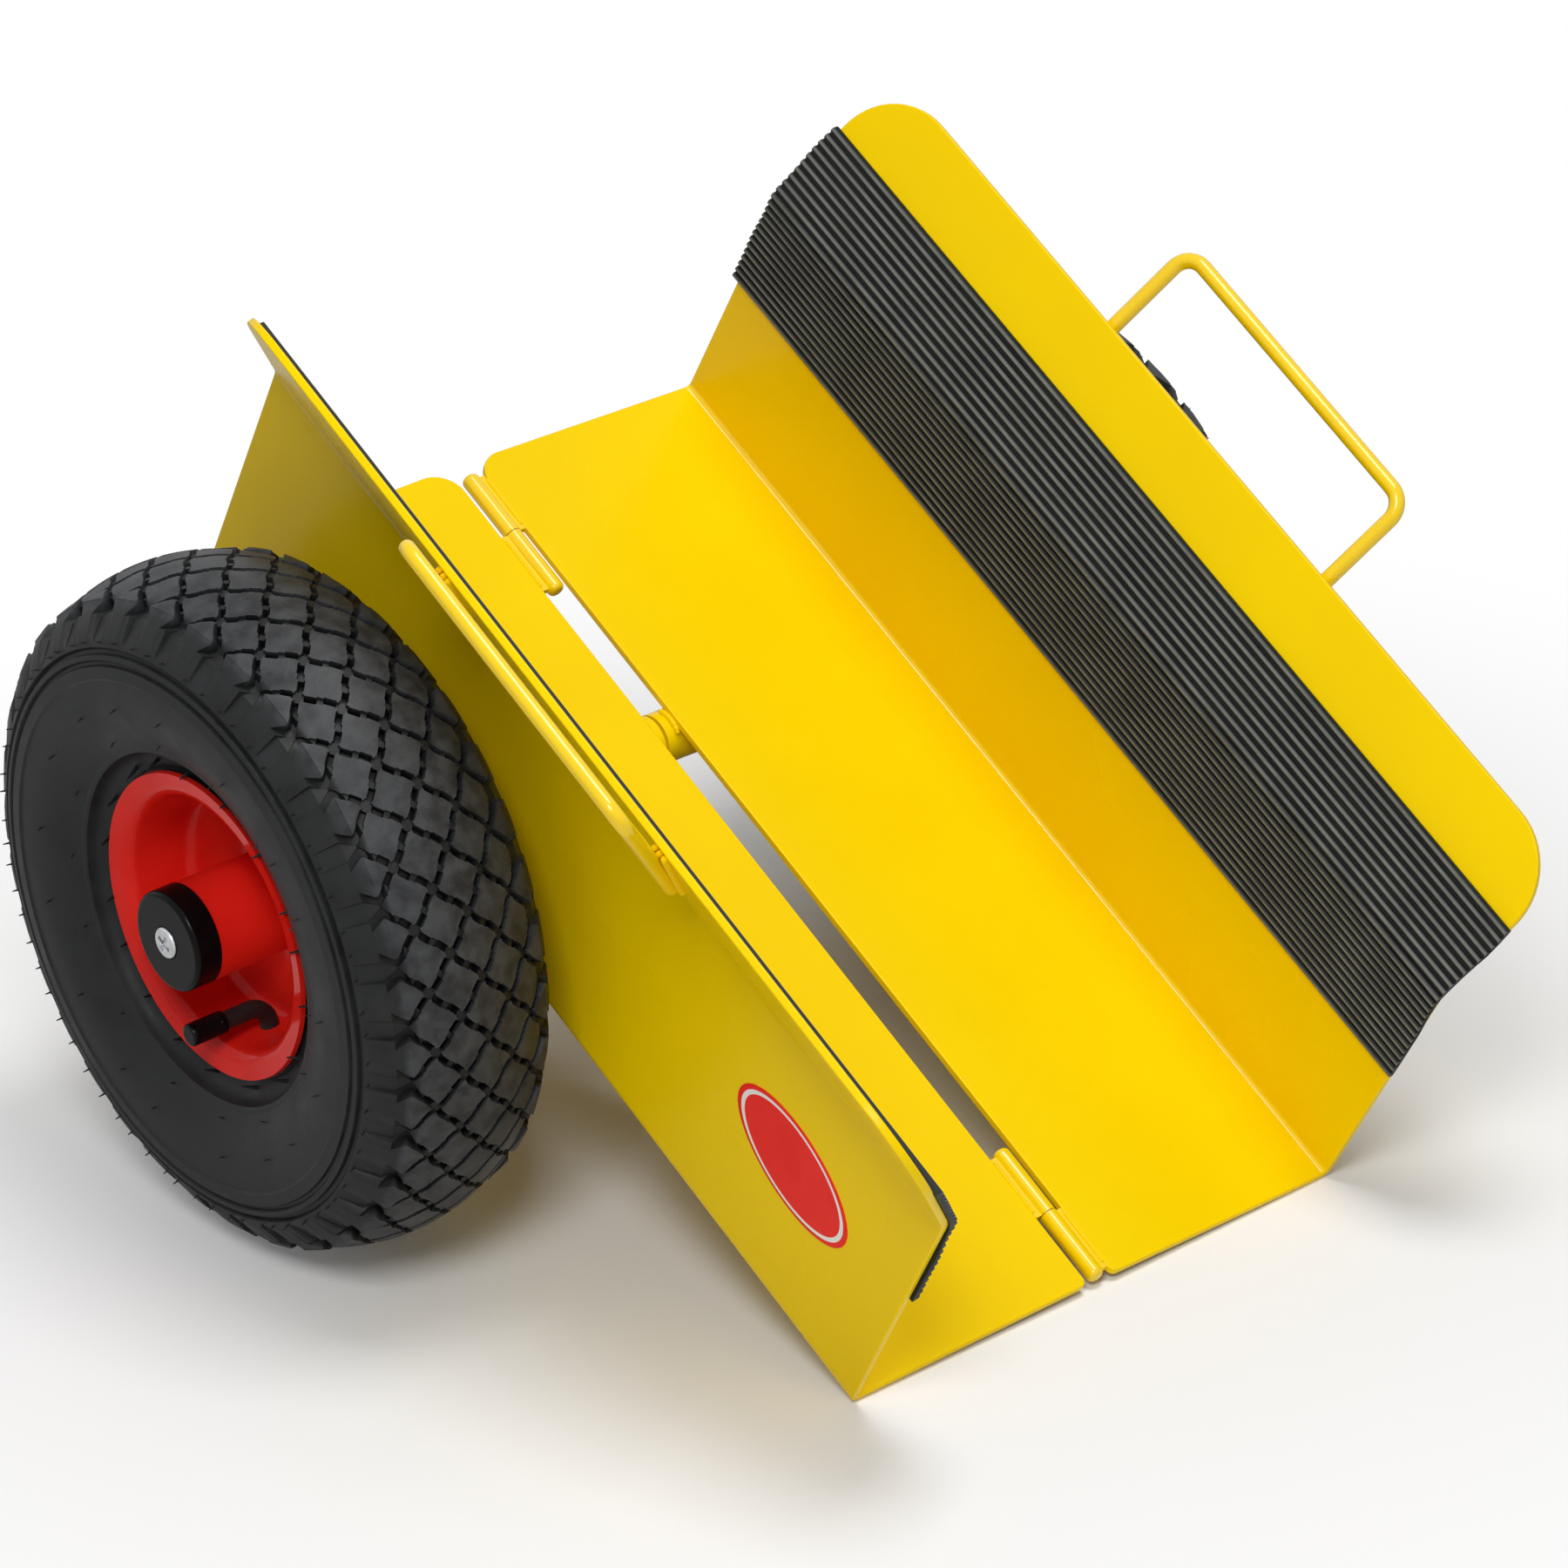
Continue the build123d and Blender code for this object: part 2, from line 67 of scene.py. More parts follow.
joints = {joint["name"]: joint for joint in frame["joints"]}
hinge = np.array(joints["fold"]["pos_m"])
along = unit(joints["fold"]["axis"])
hub = {side: np.array(joints[f"{side}_wheel_spin"]["pos_m"]) for side in SIDES}
out = {"right": unit(joints["right_wheel_spin"]["axis"]), "left": -unit(joints["left_wheel_spin"]["axis"])}
up = {"right": np.cross(out["right"], along), "left": np.cross(along, out["left"])}


def on_half(side, u, v, w):
    """Points in metres: the hinge's middle plus u outboard, v along the hinge and w up, in millimetres."""
    u, v, w = (np.asarray(c, float)[..., None] for c in np.broadcast_arrays(u, v, w))
    return hinge + MM * (u * out[side] + v * along + w * up[side])


def on_wheel(side, x, radius, turn):
    """Points in metres: x outboard of the wheel's middle plane, then a radius at a turn from along to up."""
    x, radius, turn = (np.asarray(c, float)[..., None] for c in np.broadcast_arrays(x, radius, turn))
    return hub[side] + MM * (x * out[side] + radius * (np.cos(turn) * along + np.sin(turn) * up[side]))


print("hinge middle", hinge.round(4), "axle height", hub["left"][2].round(4))

# %% [markdown]
# ## From arrays to a piece
# Every new surface is a set of points and a few blocks of faces, one block for each number of corners. A
# closed surface has a volume, and its sign tells whether the faces look outwards, so one helper can turn
# the mirrored left-hand pieces right side out, shade them, and hand them to the body that carries them.

# %% Face helpers


def ring_faces(rings, columns):
    """Quads between neighbouring rings of points, numbered ring by ring; each ring closes on itself."""
    ring, column = np.arange(rings - 1)[:, None], np.arange(columns)[None, :]
    next_column = (column + 1) % columns
    corners = (ring * columns + column, (ring + 1) * columns + column,
               (ring + 1) * columns + next_column, ring * columns + next_column)
    return np.stack(np.broadcast_arrays(*corners), -1).reshape(-1, 4)


def closed_faces(rings, columns):
    """Faces of a closed surface: the quads between its rings, and one many-sided face over each end."""
    end = np.arange(columns)[None, :]
    return [ring_faces(rings, columns), end[:, ::-1], end + (rings - 1) * columns]


def signed_volume(points, blocks):
    """Sum of the volumes of the tetrahedra from the origin to a fan of triangles on each face."""
    total = 0.0
    for block in blocks:
        first = points[block[:, 0]]
        for k in range(1, block.shape[1] - 1):
            total += np.einsum("ij,ij->", first, np.cross(points[block[:, k]], points[block[:, k + 1]])) / 6
    return total


# %% Piece helpers


def add_piece(name, points, blocks, body, slot, finish, replaces=(), sharp=35.0, marks=None):
    """Turns the faces outwards, makes the mesh, and puts the piece on its body with its finish."""
    points = points.reshape(-1, 3)
    if signed_volume(points - points.mean(0), blocks) < 0:
        blocks = [block[:, ::-1] for block in blocks]
    mesh = bpy.data.meshes.new(name)
    mesh.from_pydata(points.tolist(), [], [face for block in blocks for face in block.tolist()])
    mesh.shade_smooth()
    mesh.set_sharp_from_angle(angle=math.radians(sharp))
    for mark, values in (marks or {}).items():
        layer = mesh.attributes.new(mark, "FLOAT", "POINT")
        layer.data.foreach_set("value", np.asarray(values, np.float32).ravel())
    mesh.materials.append(finish)
    piece = bpy.data.objects.new(name, mesh)
    bpy.context.scene.collection.objects.link(piece)
    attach(piece, body)
    if replaces:
        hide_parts(*replaces)
    triangles = sum(len(block) * (block.shape[1] - 2) for block in blocks)
    print(f"{name}: {len(points)} points, {triangles} triangles")


def tube(path, across, radius_a, radius_b, sides):
    """Closed tube: an ellipse carried along a path, square to it, with a flat face over each end.
    radius_a is measured along the across direction and radius_b square to it, one value per path point."""
    way = np.gradient(path, axis=0)
    way /= np.linalg.norm(way, axis=1, keepdims=True)
    first = across - way * np.sum(across * way, axis=1, keepdims=True)
    first /= np.linalg.norm(first, axis=1, keepdims=True)
    second = np.cross(way, first)
    turn = np.arange(sides) * 2 * np.pi / sides
    rings = (path[:, None] + (radius_a[:, None] * np.cos(turn))[..., None] * first[:, None]
             + (radius_b[:, None] * np.sin(turn))[..., None] * second[:, None])
    return rings.reshape(-1, 3), closed_faces(len(path), sides)


def join(parts):
    """One set of points and faces from several, with the face numbers moved on."""
    points, blocks, start = [], [], 0
    for part_points, part_blocks in parts:
        points.append(part_points)
        blocks.extend(block + start for block in part_blocks)
        start += len(part_points)
    return np.concatenate(points), blocks


# %% [markdown]
# ## Camera
# The picture was taken from the front left and above with a long lens. A camera fitted to the plates'
# corners, the tyre's outline and the rim gives this place, and the whole square frame is 1800 pixels wide.

# %% Camera at the photograph's viewing angle
PICTURE_WIDTH, FOCAL_PIXELS = 1800, 8030.1
SENSOR_WIDTH = 36.0
CAMERA_PLACE = Vector((-1.4568, -1.7602, 1.2741))
CAMERA_TARGET = Vector((-0.0076, 0.0057, 0.1491))
CAMERA_ROLL = math.radians(-2.33)

forward = (CAMERA_TARGET - CAMERA_PLACE).normalized()
level_right = forward.cross(Vector((0, 0, 1))).normalized()
level_up = level_right.cross(forward)
camera_right = math.cos(CAMERA_ROLL) * level_right + math.sin(CAMERA_ROLL) * level_up
camera_up = camera_right.cross(forward)
camera_data = bpy.data.cameras.new("camera")
camera_data.sensor_width = SENSOR_WIDTH
camera_data.lens = FOCAL_PIXELS / PICTURE_WIDTH * SENSOR_WIDTH
camera = bpy.data.objects.new("camera", camera_data)
bpy.context.scene.collection.objects.link(camera)
camera.matrix_world = Matrix.Translation(CAMERA_PLACE) @ Matrix(
    (camera_right, camera_up, -forward)).transposed().to_4x4()
bpy.context.scene.camera = camera
print("lens", round(camera_data.lens, 1), "mm")

# %% [markdown]
# ## Finishes
# A finish starts from what the real surface is. One function turns a colour as a designer writes it into
# the linear values that light adds up in, and one adds a node. Patterns are sized in millimetres: the
# Object coordinates are in metres, so a texture that repeats every few millimetres has a large scale.

# %% Colour and node helpers


def linear(colour):
    """sRGB hex to linear: values up to 0.04045 are divided by 12.92, the rest follow the 2.4 power curve."""
    channels = np.array([int(colour[i:i + 2], 16) for i in (1, 3, 5)]) / 255
    curved = np.where(channels <= 0.04045, channels / 12.92, ((channels + 0.055) / 1.055) ** 2.4)
    return (*curved.tolist(), 1.0)


def per_metre(millimetres):
    """Texture scale for a pattern of this size."""
    return 1.0 / (MM * millimetres)


def add_node(tree, kind, links=None, values=None, **settings):
    """Adds a node, sets its properties and its sockets' own values, and links other sockets into it."""
    node = tree.nodes.new(kind)
    for name, value in settings.items():
        setattr(node, name, value)
    for socket, value in (values or {}).items():
        node.inputs[socket].default_value = value
    for socket, source in (links or {}).items():
        tree.links.new(source, node.inputs[socket])
    return node


def new_finish(name, **sockets):
    """A material with a Principled shader whose constant values are set on its own sockets."""
    material = bpy.data.materials.new(name)
    material.use_nodes = True
    tree = material.node_tree
    shader = tree.nodes["Principled BSDF"]
    for socket, value in sockets.items():
        shader.inputs[socket.replace("_", " ")].default_value = value
    coordinates = add_node(tree, "ShaderNodeTexCoord").outputs["Object"]
    return material, tree, shader, coordinates


# %% Pattern helpers


def mottle(tree, coordinates, colours, grain):
    """Colour that drifts between two hues, with cloudy noise of this grain in millimetres; the colour and
    the noise are given back."""
    low, high = (linear(colour) for colour in colours)
    noise = add_node(tree, "ShaderNodeTexNoise", {"Vector": coordinates},
                     {"Scale": per_metre(grain), "Detail": 3.0}).outputs["Fac"]
    drift = add_node(tree, "ShaderNodeMapRange", {"Value": noise}, {"From Min": 0.35, "From Max": 0.65})
    mix = add_node(tree, "ShaderNodeMix", {"Factor": drift.outputs["Result"]}, {"A": low, "B": high},
                   data_type="RGBA")
    return mix.outputs["Result"], noise


def paint(tree, shader, colour, noise, low, high):
    """Base colour, and a roughness that follows a noise between two values."""
    rough = add_node(tree, "ShaderNodeMapRange", {"Value": noise},
                     {"From Min": 0.3, "From Max": 0.7, "To Min": low, "To Max": high})
    tree.links.new(rough.outputs["Result"], shader.inputs["Roughness"])
    tree.links.new(colour, shader.inputs["Base Color"])


def grain_bump(tree, shader, coordinates, grain, height):
    """Relief of this grain and height in millimetres, as a bump on the shader's normal."""
    noise = add_node(tree, "ShaderNodeTexNoise", {"Vector": coordinates},
                     {"Scale": per_metre(grain), "Detail": 2.0})
    bump = add_node(tree, "ShaderNodeBump", {"Height": noise.outputs["Fac"]},
                    {"Strength": 1.0, "Distance": MM * height})
    tree.links.new(bump.outputs["Normal"], shader.inputs["Normal"])


# %% [markdown]
# ### Yellow powder coat
# The plates, handles and hinge are steel with a baked polyester powder. It is opaque and smooth. On rolled
# sheet it flows out to a soft gloss that drifts a little from place to place. On drawn rod, which is smoother
# underneath, the same coat shines, so the rods carry a narrow bright line of light.

# %% Powder coat
powder_coat, tree, shader, coordinates = new_finish(
    "powder_coat_on_steel", IOR=1.5, Specular_IOR_Level=0.1)
paint(tree, shader, *mottle(tree, coordinates, ("#F7D001", "#F9D401"), grain=70.0), 0.22, 0.3)

rod_coat, tree, shader, coordinates = new_finish(
    "powder_coat_on_drawn_rod", IOR=1.5, Specular_IOR_Level=0.5)
paint(tree, shader, *mottle(tree, coordinates, ("#F4CC01", "#F8D101"), grain=40.0), 0.17, 0.21)
print("finishes:", powder_coat.name, rod_coat.name)

# %% [markdown]
# ### Red enamel
# The rims are pressed from sheet, dipped in a glossy stoving enamel. Under the clear gloss the red is even,
# a little darker where the coat ran thick, and the bowl of the rim mirrors its own hub softly.

# %% Red enamel
red_enamel, tree, shader, coordinates = new_finish(
    "stoved_enamel_on_rim", IOR=1.5, Specular_IOR_Level=0.09)
paint(tree, shader, *mottle(tree, coordinates, ("#D81D14", "#E2251B"), grain=35.0), 0.08, 0.12)
grain_bump(tree, shader, coordinates, grain=6.0, height=0.006)
print("finish:", red_enamel.name)

# %% [markdown]
# ### Rubbers
# The mat is extruded rubber with a satin skin, painted paler along the crests of its ribs as a painted
# highlight. The tyre is moulded black rubber: its block tops are painted paler, a painted highlight, and its
# grooves darker the deeper they go, a painted shade. So the meshes mark the crests, block tops and slots,
# and the colour follows those marks. The valve is smooth rubber, hand-worn to a soft shine. The skin's own
# grain is drawn about a millimetre coarse, so that it shows.

# %% Mat rubber
mat_rubber, tree, shader, coordinates = new_finish("extruded_mat_rubber", IOR=1.52, Specular_IOR_Level=0.16)
web, bloom = mottle(tree, coordinates, ("#141615", "#1E201E"), grain=22.0)
# the crests' pale colour is a painted highlight along the top of each rib
painted_crest_highlight, _ = mottle(tree, coordinates, ("#6E706C", "#82847F"), grain=15.0)
crest_highlight_mark = add_node(tree, "ShaderNodeAttribute", attribute_name="rib_crest_highlight").outputs["Fac"]
ribbed = add_node(tree, "ShaderNodeMix", {"Factor": crest_highlight_mark, "A": web, "B": painted_crest_highlight}, data_type="RGBA")
paint(tree, shader, ribbed.outputs["Result"], bloom, 0.42, 0.52)
print("finish:", mat_rubber.name)

# %% Tyre rubber
tyre_rubber, tree, shader, coordinates = new_finish("moulded_tyre_rubber", IOR=1.52, Specular_IOR_Level=0.2)
walls, bloom = mottle(tree, coordinates, ("#191A1B", "#232425"), grain=14.0)
# the block tops' paler colour is a painted highlight, standing in for the light that falls on them
tops, _ = mottle(tree, coordinates, ("#26272A", "#3E4043"), grain=7.0)
lit_top_mark = add_node(tree, "ShaderNodeAttribute", attribute_name="lit_block_top").outputs["Fac"]
slot_shade_mark = add_node(tree, "ShaderNodeAttribute", attribute_name="slot").outputs["Fac"]
blocky = add_node(tree, "ShaderNodeMix", {"Factor": lit_top_mark, "A": walls, "B": tops}, data_type="RGBA")
# slots are painted near black, a painted shade that deepens with the groove's depth
slot_shaded = add_node(tree, "ShaderNodeMix", {"Factor": slot_shade_mark, "A": blocky.outputs["Result"]},
                   {"B": linear("#08090A")}, data_type="RGBA")
paint(tree, shader, slot_shaded.outputs["Result"], bloom, 0.4, 0.58)
grain_bump(tree, shader, coordinates, grain=1.2, height=0.06)
print("finish:", tyre_rubber.name)

# %% Valve rubber
valve_rubber, tree, shader, coordinates = new_finish("smooth_valve_rubber", IOR=1.52, Specular_IOR_Level=0.3)
paint(tree, shader, *mottle(tree, coordinates, ("#161617", "#202021"), grain=8.0), 0.38, 0.5)
grain_bump(tree, shader, coordinates, grain=0.7, height=0.03)
print("finish:", valve_rubber.name)

# %% [markdown]
# ### Plastics, steel and the label's vinyl
# The hub caps are moulded black plastic with a fine spark-eroded grain, the washers and cages natural
# nylon. Screws, rollers and pins are zinc-plated or ground steel with a faint grain. Real grain of this kind
# is about a tenth of a millimetre, too fine to show, so it is drawn at half a millimetre and more. The label
# is printed vinyl, whose red and white follow the oval's own mark from its middle to its rim.

# %% Plastics
black_plastic, tree, shader, coordinates = new_finish(
    "moulded_black_plastic", IOR=1.49, Specular_IOR_Level=0.1)
paint(tree, shader, *mottle(tree, coordinates, ("#060607", "#0B0B0C"), grain=12.0), 0.2, 0.28)
grain_bump(tree, shader, coordinates, grain=0.6, height=0.02)

natural_nylon, tree, shader, coordinates = new_finish("natural_nylon", IOR=1.53)
paint(tree, shader, *mottle(tree, coordinates, ("#E2DCC8", "#EDE8D8"), grain=10.0), 0.4, 0.5)
grain_bump(tree, shader, coordinates, grain=1.0, height=0.02)
print("finishes:", black_plastic.name, natural_nylon.name)

# %% Plated steel
plated_steel, tree, shader, coordinates = new_finish("zinc_plated_steel", Metallic=1.0)
paint(tree, shader, *mottle(tree, coordinates, ("#B9BCBF", "#D2D4D6"), grain=5.0), 0.2, 0.34)
grain_bump(tree, shader, coordinates, grain=0.5, height=0.02)
print("finish:", plated_steel.name)

# %% Label vinyl
WHITE_RING = (0.87, 0.93)
label_vinyl, tree, shader, coordinates = new_finish("printed_label_vinyl", IOR=1.5, Specular_IOR_Level=0.12)
red, bloom = mottle(tree, coordinates, ("#F0281E", "#F63026"), grain=18.0)
oval_share = add_node(tree, "ShaderNodeAttribute", attribute_name="oval_share").outputs["Fac"]
past_red = add_node(tree, "ShaderNodeMath", {0: oval_share}, {1: WHITE_RING[0]}, operation="GREATER_THAN")
not_rim = add_node(tree, "ShaderNodeMath", {0: oval_share}, {1: WHITE_RING[1]}, operation="LESS_THAN")
in_ring = add_node(tree, "ShaderNodeMath", {0: past_red.outputs[0], 1: not_rim.outputs[0]},
                   operation="MULTIPLY")
printed = add_node(tree, "ShaderNodeMix", {"Factor": in_ring.outputs[0], "A": red},
                   {"B": linear("#F2EFEA")}, data_type="RGBA")
paint(tree, shader, printed.outputs["Result"], bloom, 0.3, 0.38)
grain_bump(tree, shader, coordinates, grain=3.0, height=0.01)
print("finish:", label_vinyl.name)

# %% [markdown]
# ### Finishes on the CAD pieces
# The record names a material slot for each node, so one table takes every carried-over piece to its finish.
# The hinge knuckles are cut from drawn tube, so they shine as the rods do.

# %% Dress the CAD nodes
FINISH_OF_SLOT = {
    "yellow_powder_coat": powder_coat, "red_enamel": red_enamel, "mat_rubber": mat_rubber,
    "tyre_rubber": tyre_rubber, "valve_rubber": valve_rubber, "black_plastic": black_plastic,
    "natural_nylon": natural_nylon, "bright_steel": plated_steel,
}
for subpart in frame["record"]["subparts"]:
    finish = rod_coat if subpart["node"].endswith("knuckles") else FINISH_OF_SLOT[subpart["material_slot"]]
    for holder in frame["nodes"][subpart["node"]].material_slots:
        holder.material = finish

# %% [markdown]
# ## Tyre
# The tyre is a moulded 260 mm one. Two families of grooves cross the crown on the slant and leave square
# blocks standing on their corners, 34 round the wheel. Each groove is really a row of deep slots: it is
# shallow where it crosses another and at a little bridge half way along each block.
#
# Boolean cuts would leave ragged triangles. Instead the grid itself runs along the grooves: its lines are
# numbered in both groove directions, p and q, with the same places in every block, so each groove wall has
# its own pair of lines. Going half a block on gives the same places again, so the shoulder, where p and q
# differ by two and a half blocks, passes from corner to corner and the walls can go on from there.

# %% Tyre section
TYRE_RADIUS, TYRE_HALF_WIDTH = 130.0, 42.5
SHOULDER = (32.6, 120.0)
BELLY_RADIUS = 93.0
BEAD, BEAD_SLOPE = (25.3, 60.0), math.radians(33.0)
CURVE_POINTS = 60


def cubic(start, end, start_way, end_way):
    """Cubic curve between two points that leaves and arrives in the given directions, pulled by its chord."""
    t = np.linspace(0, 1, CURVE_POINTS)[:, None]
    start, end = np.array(start), np.array(end)
    pull = np.linalg.norm(end - start)
    return ((2 * t**3 - 3 * t**2 + 1) * start + (t**3 - 2 * t**2 + t) * pull * np.array(start_way)
            + (3 * t**2 - 2 * t**3) * end + (t**3 - t**2) * pull * np.array(end_way))


crown_drop = TYRE_RADIUS - SHOULDER[1]
crown_radius = (SHOULDER[0] ** 2 + crown_drop**2) / (2 * crown_drop)
crown_turn = np.linspace(0, math.asin(SHOULDER[0] / crown_radius), CURVE_POINTS)
crown_arc = np.stack([crown_radius * np.sin(crown_turn),
                      TYRE_RADIUS - crown_radius * (1 - np.cos(crown_turn))], 1)
shoulder_way = (math.cos(crown_turn[-1]), -math.sin(crown_turn[-1]))
bead_way = (-math.cos(BEAD_SLOPE), -math.sin(BEAD_SLOPE))
belly = (TYRE_HALF_WIDTH, BELLY_RADIUS)
outline = np.concatenate([
    crown_arc,
    cubic(SHOULDER, belly, shoulder_way, (0, -1))[1:],
    cubic(belly, BEAD, (0, -1), bead_way)[1:],
])
outline_arc = np.concatenate([[0], np.cumsum(np.linalg.norm(np.diff(outline, axis=0), axis=1))])
outline_way = np.gradient(outline, outline_arc, axis=0)


def tyre_point(arc, depth):
    """Outboard distance and radius of a point this far from the crown's middle along the outline and this
    deep under it, where a negative arc is on the inboard half."""
    reach = np.abs(arc)
    x, radius, way_x, way_r = (np.interp(reach, outline_arc, column) for column in
                               (outline[:, 0], outline[:, 1], outline_way[:, 0], outline_way[:, 1]))
    return np.sign(arc) * (x + depth * way_r), radius - depth * way_x


print("tyre outline from crown to bead:", outline_arc[-1].round(1), "mm")

# %% Grid lines and grooves
# places and widths are in blocks, depths in millimetres
BLOCKS_ROUND, SHOULDER_BLOCKS = 34, 2.5
GROOVE_FLOOR, GROOVE_TOP = 0.07, 0.085
SLOT_START = (0.13, 0.145)
SLOT_DEPTH, GROOVE_DEPTH = 4.4, 1.3
SLOT_STEP = 0.03

rising = np.array([GROOVE_FLOOR, GROOVE_TOP, *SLOT_START])
half_block = np.concatenate([rising, 0.5 - rising[::-1]])
line_in_block = np.concatenate([half_block, half_block + 0.5])
LINES = len(line_in_block)
TURNS = LINES * BLOCKS_ROUND
REACH = int(LINES * SHOULDER_BLOCKS)
groove_edge = (GROOVE_FLOOR + GROOVE_TOP) / 2
slot_from, slot_to = sum(SLOT_START) / 2, 0.5 - groove_edge


def line_place(number):
    """Place of a grid line in blocks: whole blocks passed, plus its place in its own block."""
    return number // LINES + line_in_block[number % LINES]


def from_whole(number):
    """Distance to the nearest whole number."""
    return np.abs(number - np.rint(number))


def in_slot(number):
    """Whether a place along a groove lies between a slot's two ends, measured from the nearest crossing."""
    return (from_whole(number) > slot_from) & (from_whole(number) < slot_to)


def groove_depth(p, q):
    """Depth under the block tops: within the groove's floor of a whole p or q it is the shallow depth, and
    the slot's depth where the other number lies in a slot."""
    in_p, in_q = from_whole(p) < groove_edge, from_whole(q) < groove_edge
    deep = (in_p & in_slot(q)) | (in_q & in_slot(p))
    return np.where(deep, SLOT_DEPTH, np.where(in_p | in_q, GROOVE_DEPTH, 0.0))


def slot_step(across, along_groove):
    """Sideways step of the lines next to a groove: one way in the first slot of each block side and the
    other way in the second, so that the groove zigzags."""
    way = np.where(along_groove - np.floor(along_groove) < 0.5, SLOT_STEP, -SLOT_STEP)
    return np.where((from_whole(across) < slot_from - SLOT_STEP) & in_slot(along_groove), way, 0.0)


print("grid lines:", LINES, "in a block,", TURNS, "round the wheel")

# %% Tread grid
BLOCK_ACROSS = 21.2
FIRST_CROSSING = math.radians(3.66)
# the pads are the outermost cells; they start this many blocks from the crown's middle and rise outwards
PAD_CELL, PAD_START, PAD_RISE = 3, 1.0, 0.2

line = np.arange(TURNS)[:, None]
offset = np.arange(-REACH, REACH + 1)[None, :]
p, q = line_place(line), line_place(line - offset)
tread_depth = groove_depth(p, q)
on_pad = (np.abs(np.floor(p) - np.floor(q)) == PAD_CELL) & (tread_depth == 0)
pad_height = PAD_RISE * BLOCK_ACROSS * (np.abs(p - q) / 2 - PAD_START)
p, q = p + slot_step(p, q), q - slot_step(q, p)
block_turn = 2 * np.pi / BLOCKS_ROUND
tread_turn = FIRST_CROSSING + block_turn * (p + q) / 2
tread_x, tread_radius = tyre_point((p - q) / 2 * BLOCK_ACROSS, np.where(on_pad, -pad_height, tread_depth))
print("tread grid", tread_x.shape, "block pitch round the crown", round(block_turn * TYRE_RADIUS, 1), "mm")

# %% [markdown]
# Outside the shoulder the walls are plain rows of the same columns. Each row has three depths: under a
# shoulder pad, under a block's corner and the recess outside it, and in the groove between. Over the first
# rows the columns spread with the slanted grooves, so the pads widen to triangles. Below them stand broad
# lugs, and then the depths become one and draw two ring grooves, a raised band and the hollow over the bead.

# %% Sidewall rows
# arc and depth of the plain rings below the lugs
RING_ROWS = (
    (48.0, 0.3), (48.6, 1.9), (50.2, 1.9), (50.8, 0.1), (52.6, 0.1), (53.2, 1.5), (54.4, 1.5), (55.0, 0.3),
    (59.5, 0.3), (60.4, 1.0), (68.0, 0.9), (76.0, 0.9), (84.0, 0.9), (90.0, 0.9), (91.0, 0.2), (92.2, 0.1),
    (93.4, 1.0), (95.0, 2.0), (97.0, 2.5), (99.0, 2.3), (101.0, 1.3), (102.4, 0.0),
)
# arc from the crown's middle, then the depth under a pad, in a corner or recess and in a groove, and how far
# the grooves have spread, in blocks
WALL_ROWS = np.array([
    (28.1, -1.38, 0.5, 3.2, 0.075), (29.2, -1.6, 1.3, 3.2, 0.127), (29.7, -1.7, 2.0, 3.2, 0.15),
    (30.5, -1.1, 2.6, 3.2, 0.15), (33.0, -0.8, 2.4, 2.2, 0.08), (35.5, -0.5, 1.6, -0.3, 0.0),
    (44.4, 0.1, 1.0, 0.15, 0.0), (46.4, 0.3, 0.4, 0.3, 0.0),
    *((arc, depth, depth, depth, 0.0) for arc, depth in RING_ROWS),
])
PAD_EDGE, CORNER_EDGE, EDGE_SLACK = 0.25 - GROOVE_TOP, 0.25 + GROOVE_TOP, 0.001


def spread_column(place, spread):
    """Place of a column whose grooves have spread: pads stretch from their middle, grooves move out by the
    spread, and corners are squeezed against the middle between two pads."""
    middle = np.rint(place)
    reach = np.interp(np.abs(place - middle), (0, PAD_EDGE, CORNER_EDGE, 0.5),
                      (0, PAD_EDGE + spread, CORNER_EDGE + spread, 0.5))
    return middle + np.sign(place - middle) * reach


row_arc, pad_depth, corner_depth, gap_depth, row_spread = WALL_ROWS.T
column_place = line_place(np.arange(TURNS)) - SHOULDER_BLOCKS / 2
column_kind = np.digitize(from_whole(column_place), (PAD_EDGE + EDGE_SLACK, CORNER_EDGE - EDGE_SLACK))
wall_depth = np.stack([pad_depth, gap_depth, corner_depth])[column_kind]
wall_place = np.stack([spread_column(column_place, spread) for spread in row_spread], 1)
wall_x, wall_radius = tyre_point(row_arc, wall_depth)
print("sidewall grid", wall_x.shape)

# %% Inside of the tyre
BEAD_FOOT = np.array([(25.3, 59.3), (25.3, 55.0), (21.3, 50.5), (13.0, 49.6)])
CAVITY_HALF_WIDTH, CAVITY_HEIGHT, CAVITY_DEPTH = 36.5, 28.5, 37.0
CAVITY_POINTS = 15

cavity_end = math.acos(BEAD_FOOT[-1, 0] / CAVITY_HALF_WIDTH)
cavity_turn = np.linspace(-cavity_end, np.pi + cavity_end, CAVITY_POINTS)
cavity_reach = np.where(np.sin(cavity_turn) > 0, CAVITY_HEIGHT, CAVITY_DEPTH)
cavity = np.stack([CAVITY_HALF_WIDTH * np.cos(cavity_turn),
                   BELLY_RADIUS + cavity_reach * np.sin(cavity_turn)], 1)
inside = np.concatenate([BEAD_FOOT, cavity, BEAD_FOOT[::-1] * (-1, 1)])
inside_x, inside_radius = (np.broadcast_to(values, (TURNS, len(inside))) for values in inside.T)
inside_place = np.broadcast_to(column_place[:, None], inside_x.shape)
ring_x = np.concatenate([wall_x, inside_x, -wall_x[:, ::-1]], 1)
ring_radius = np.concatenate([wall_radius, inside_radius, wall_radius[:, ::-1]], 1)
ring_turn = FIRST_CROSSING + block_turn * np.concatenate([wall_place, inside_place, wall_place[:, ::-1]], 1)
print("sidewall and inside grid", ring_x.shape)

# %% Tyre faces
TREAD_WIDTH, RING_WIDTH = tread_x.shape[1], ring_x.shape[1]


def tread_number(at_line, at_offset):
    """Number of a tread point; the lines close round the wheel."""
    return (at_line % TURNS) * TREAD_WIDTH + at_offset + REACH


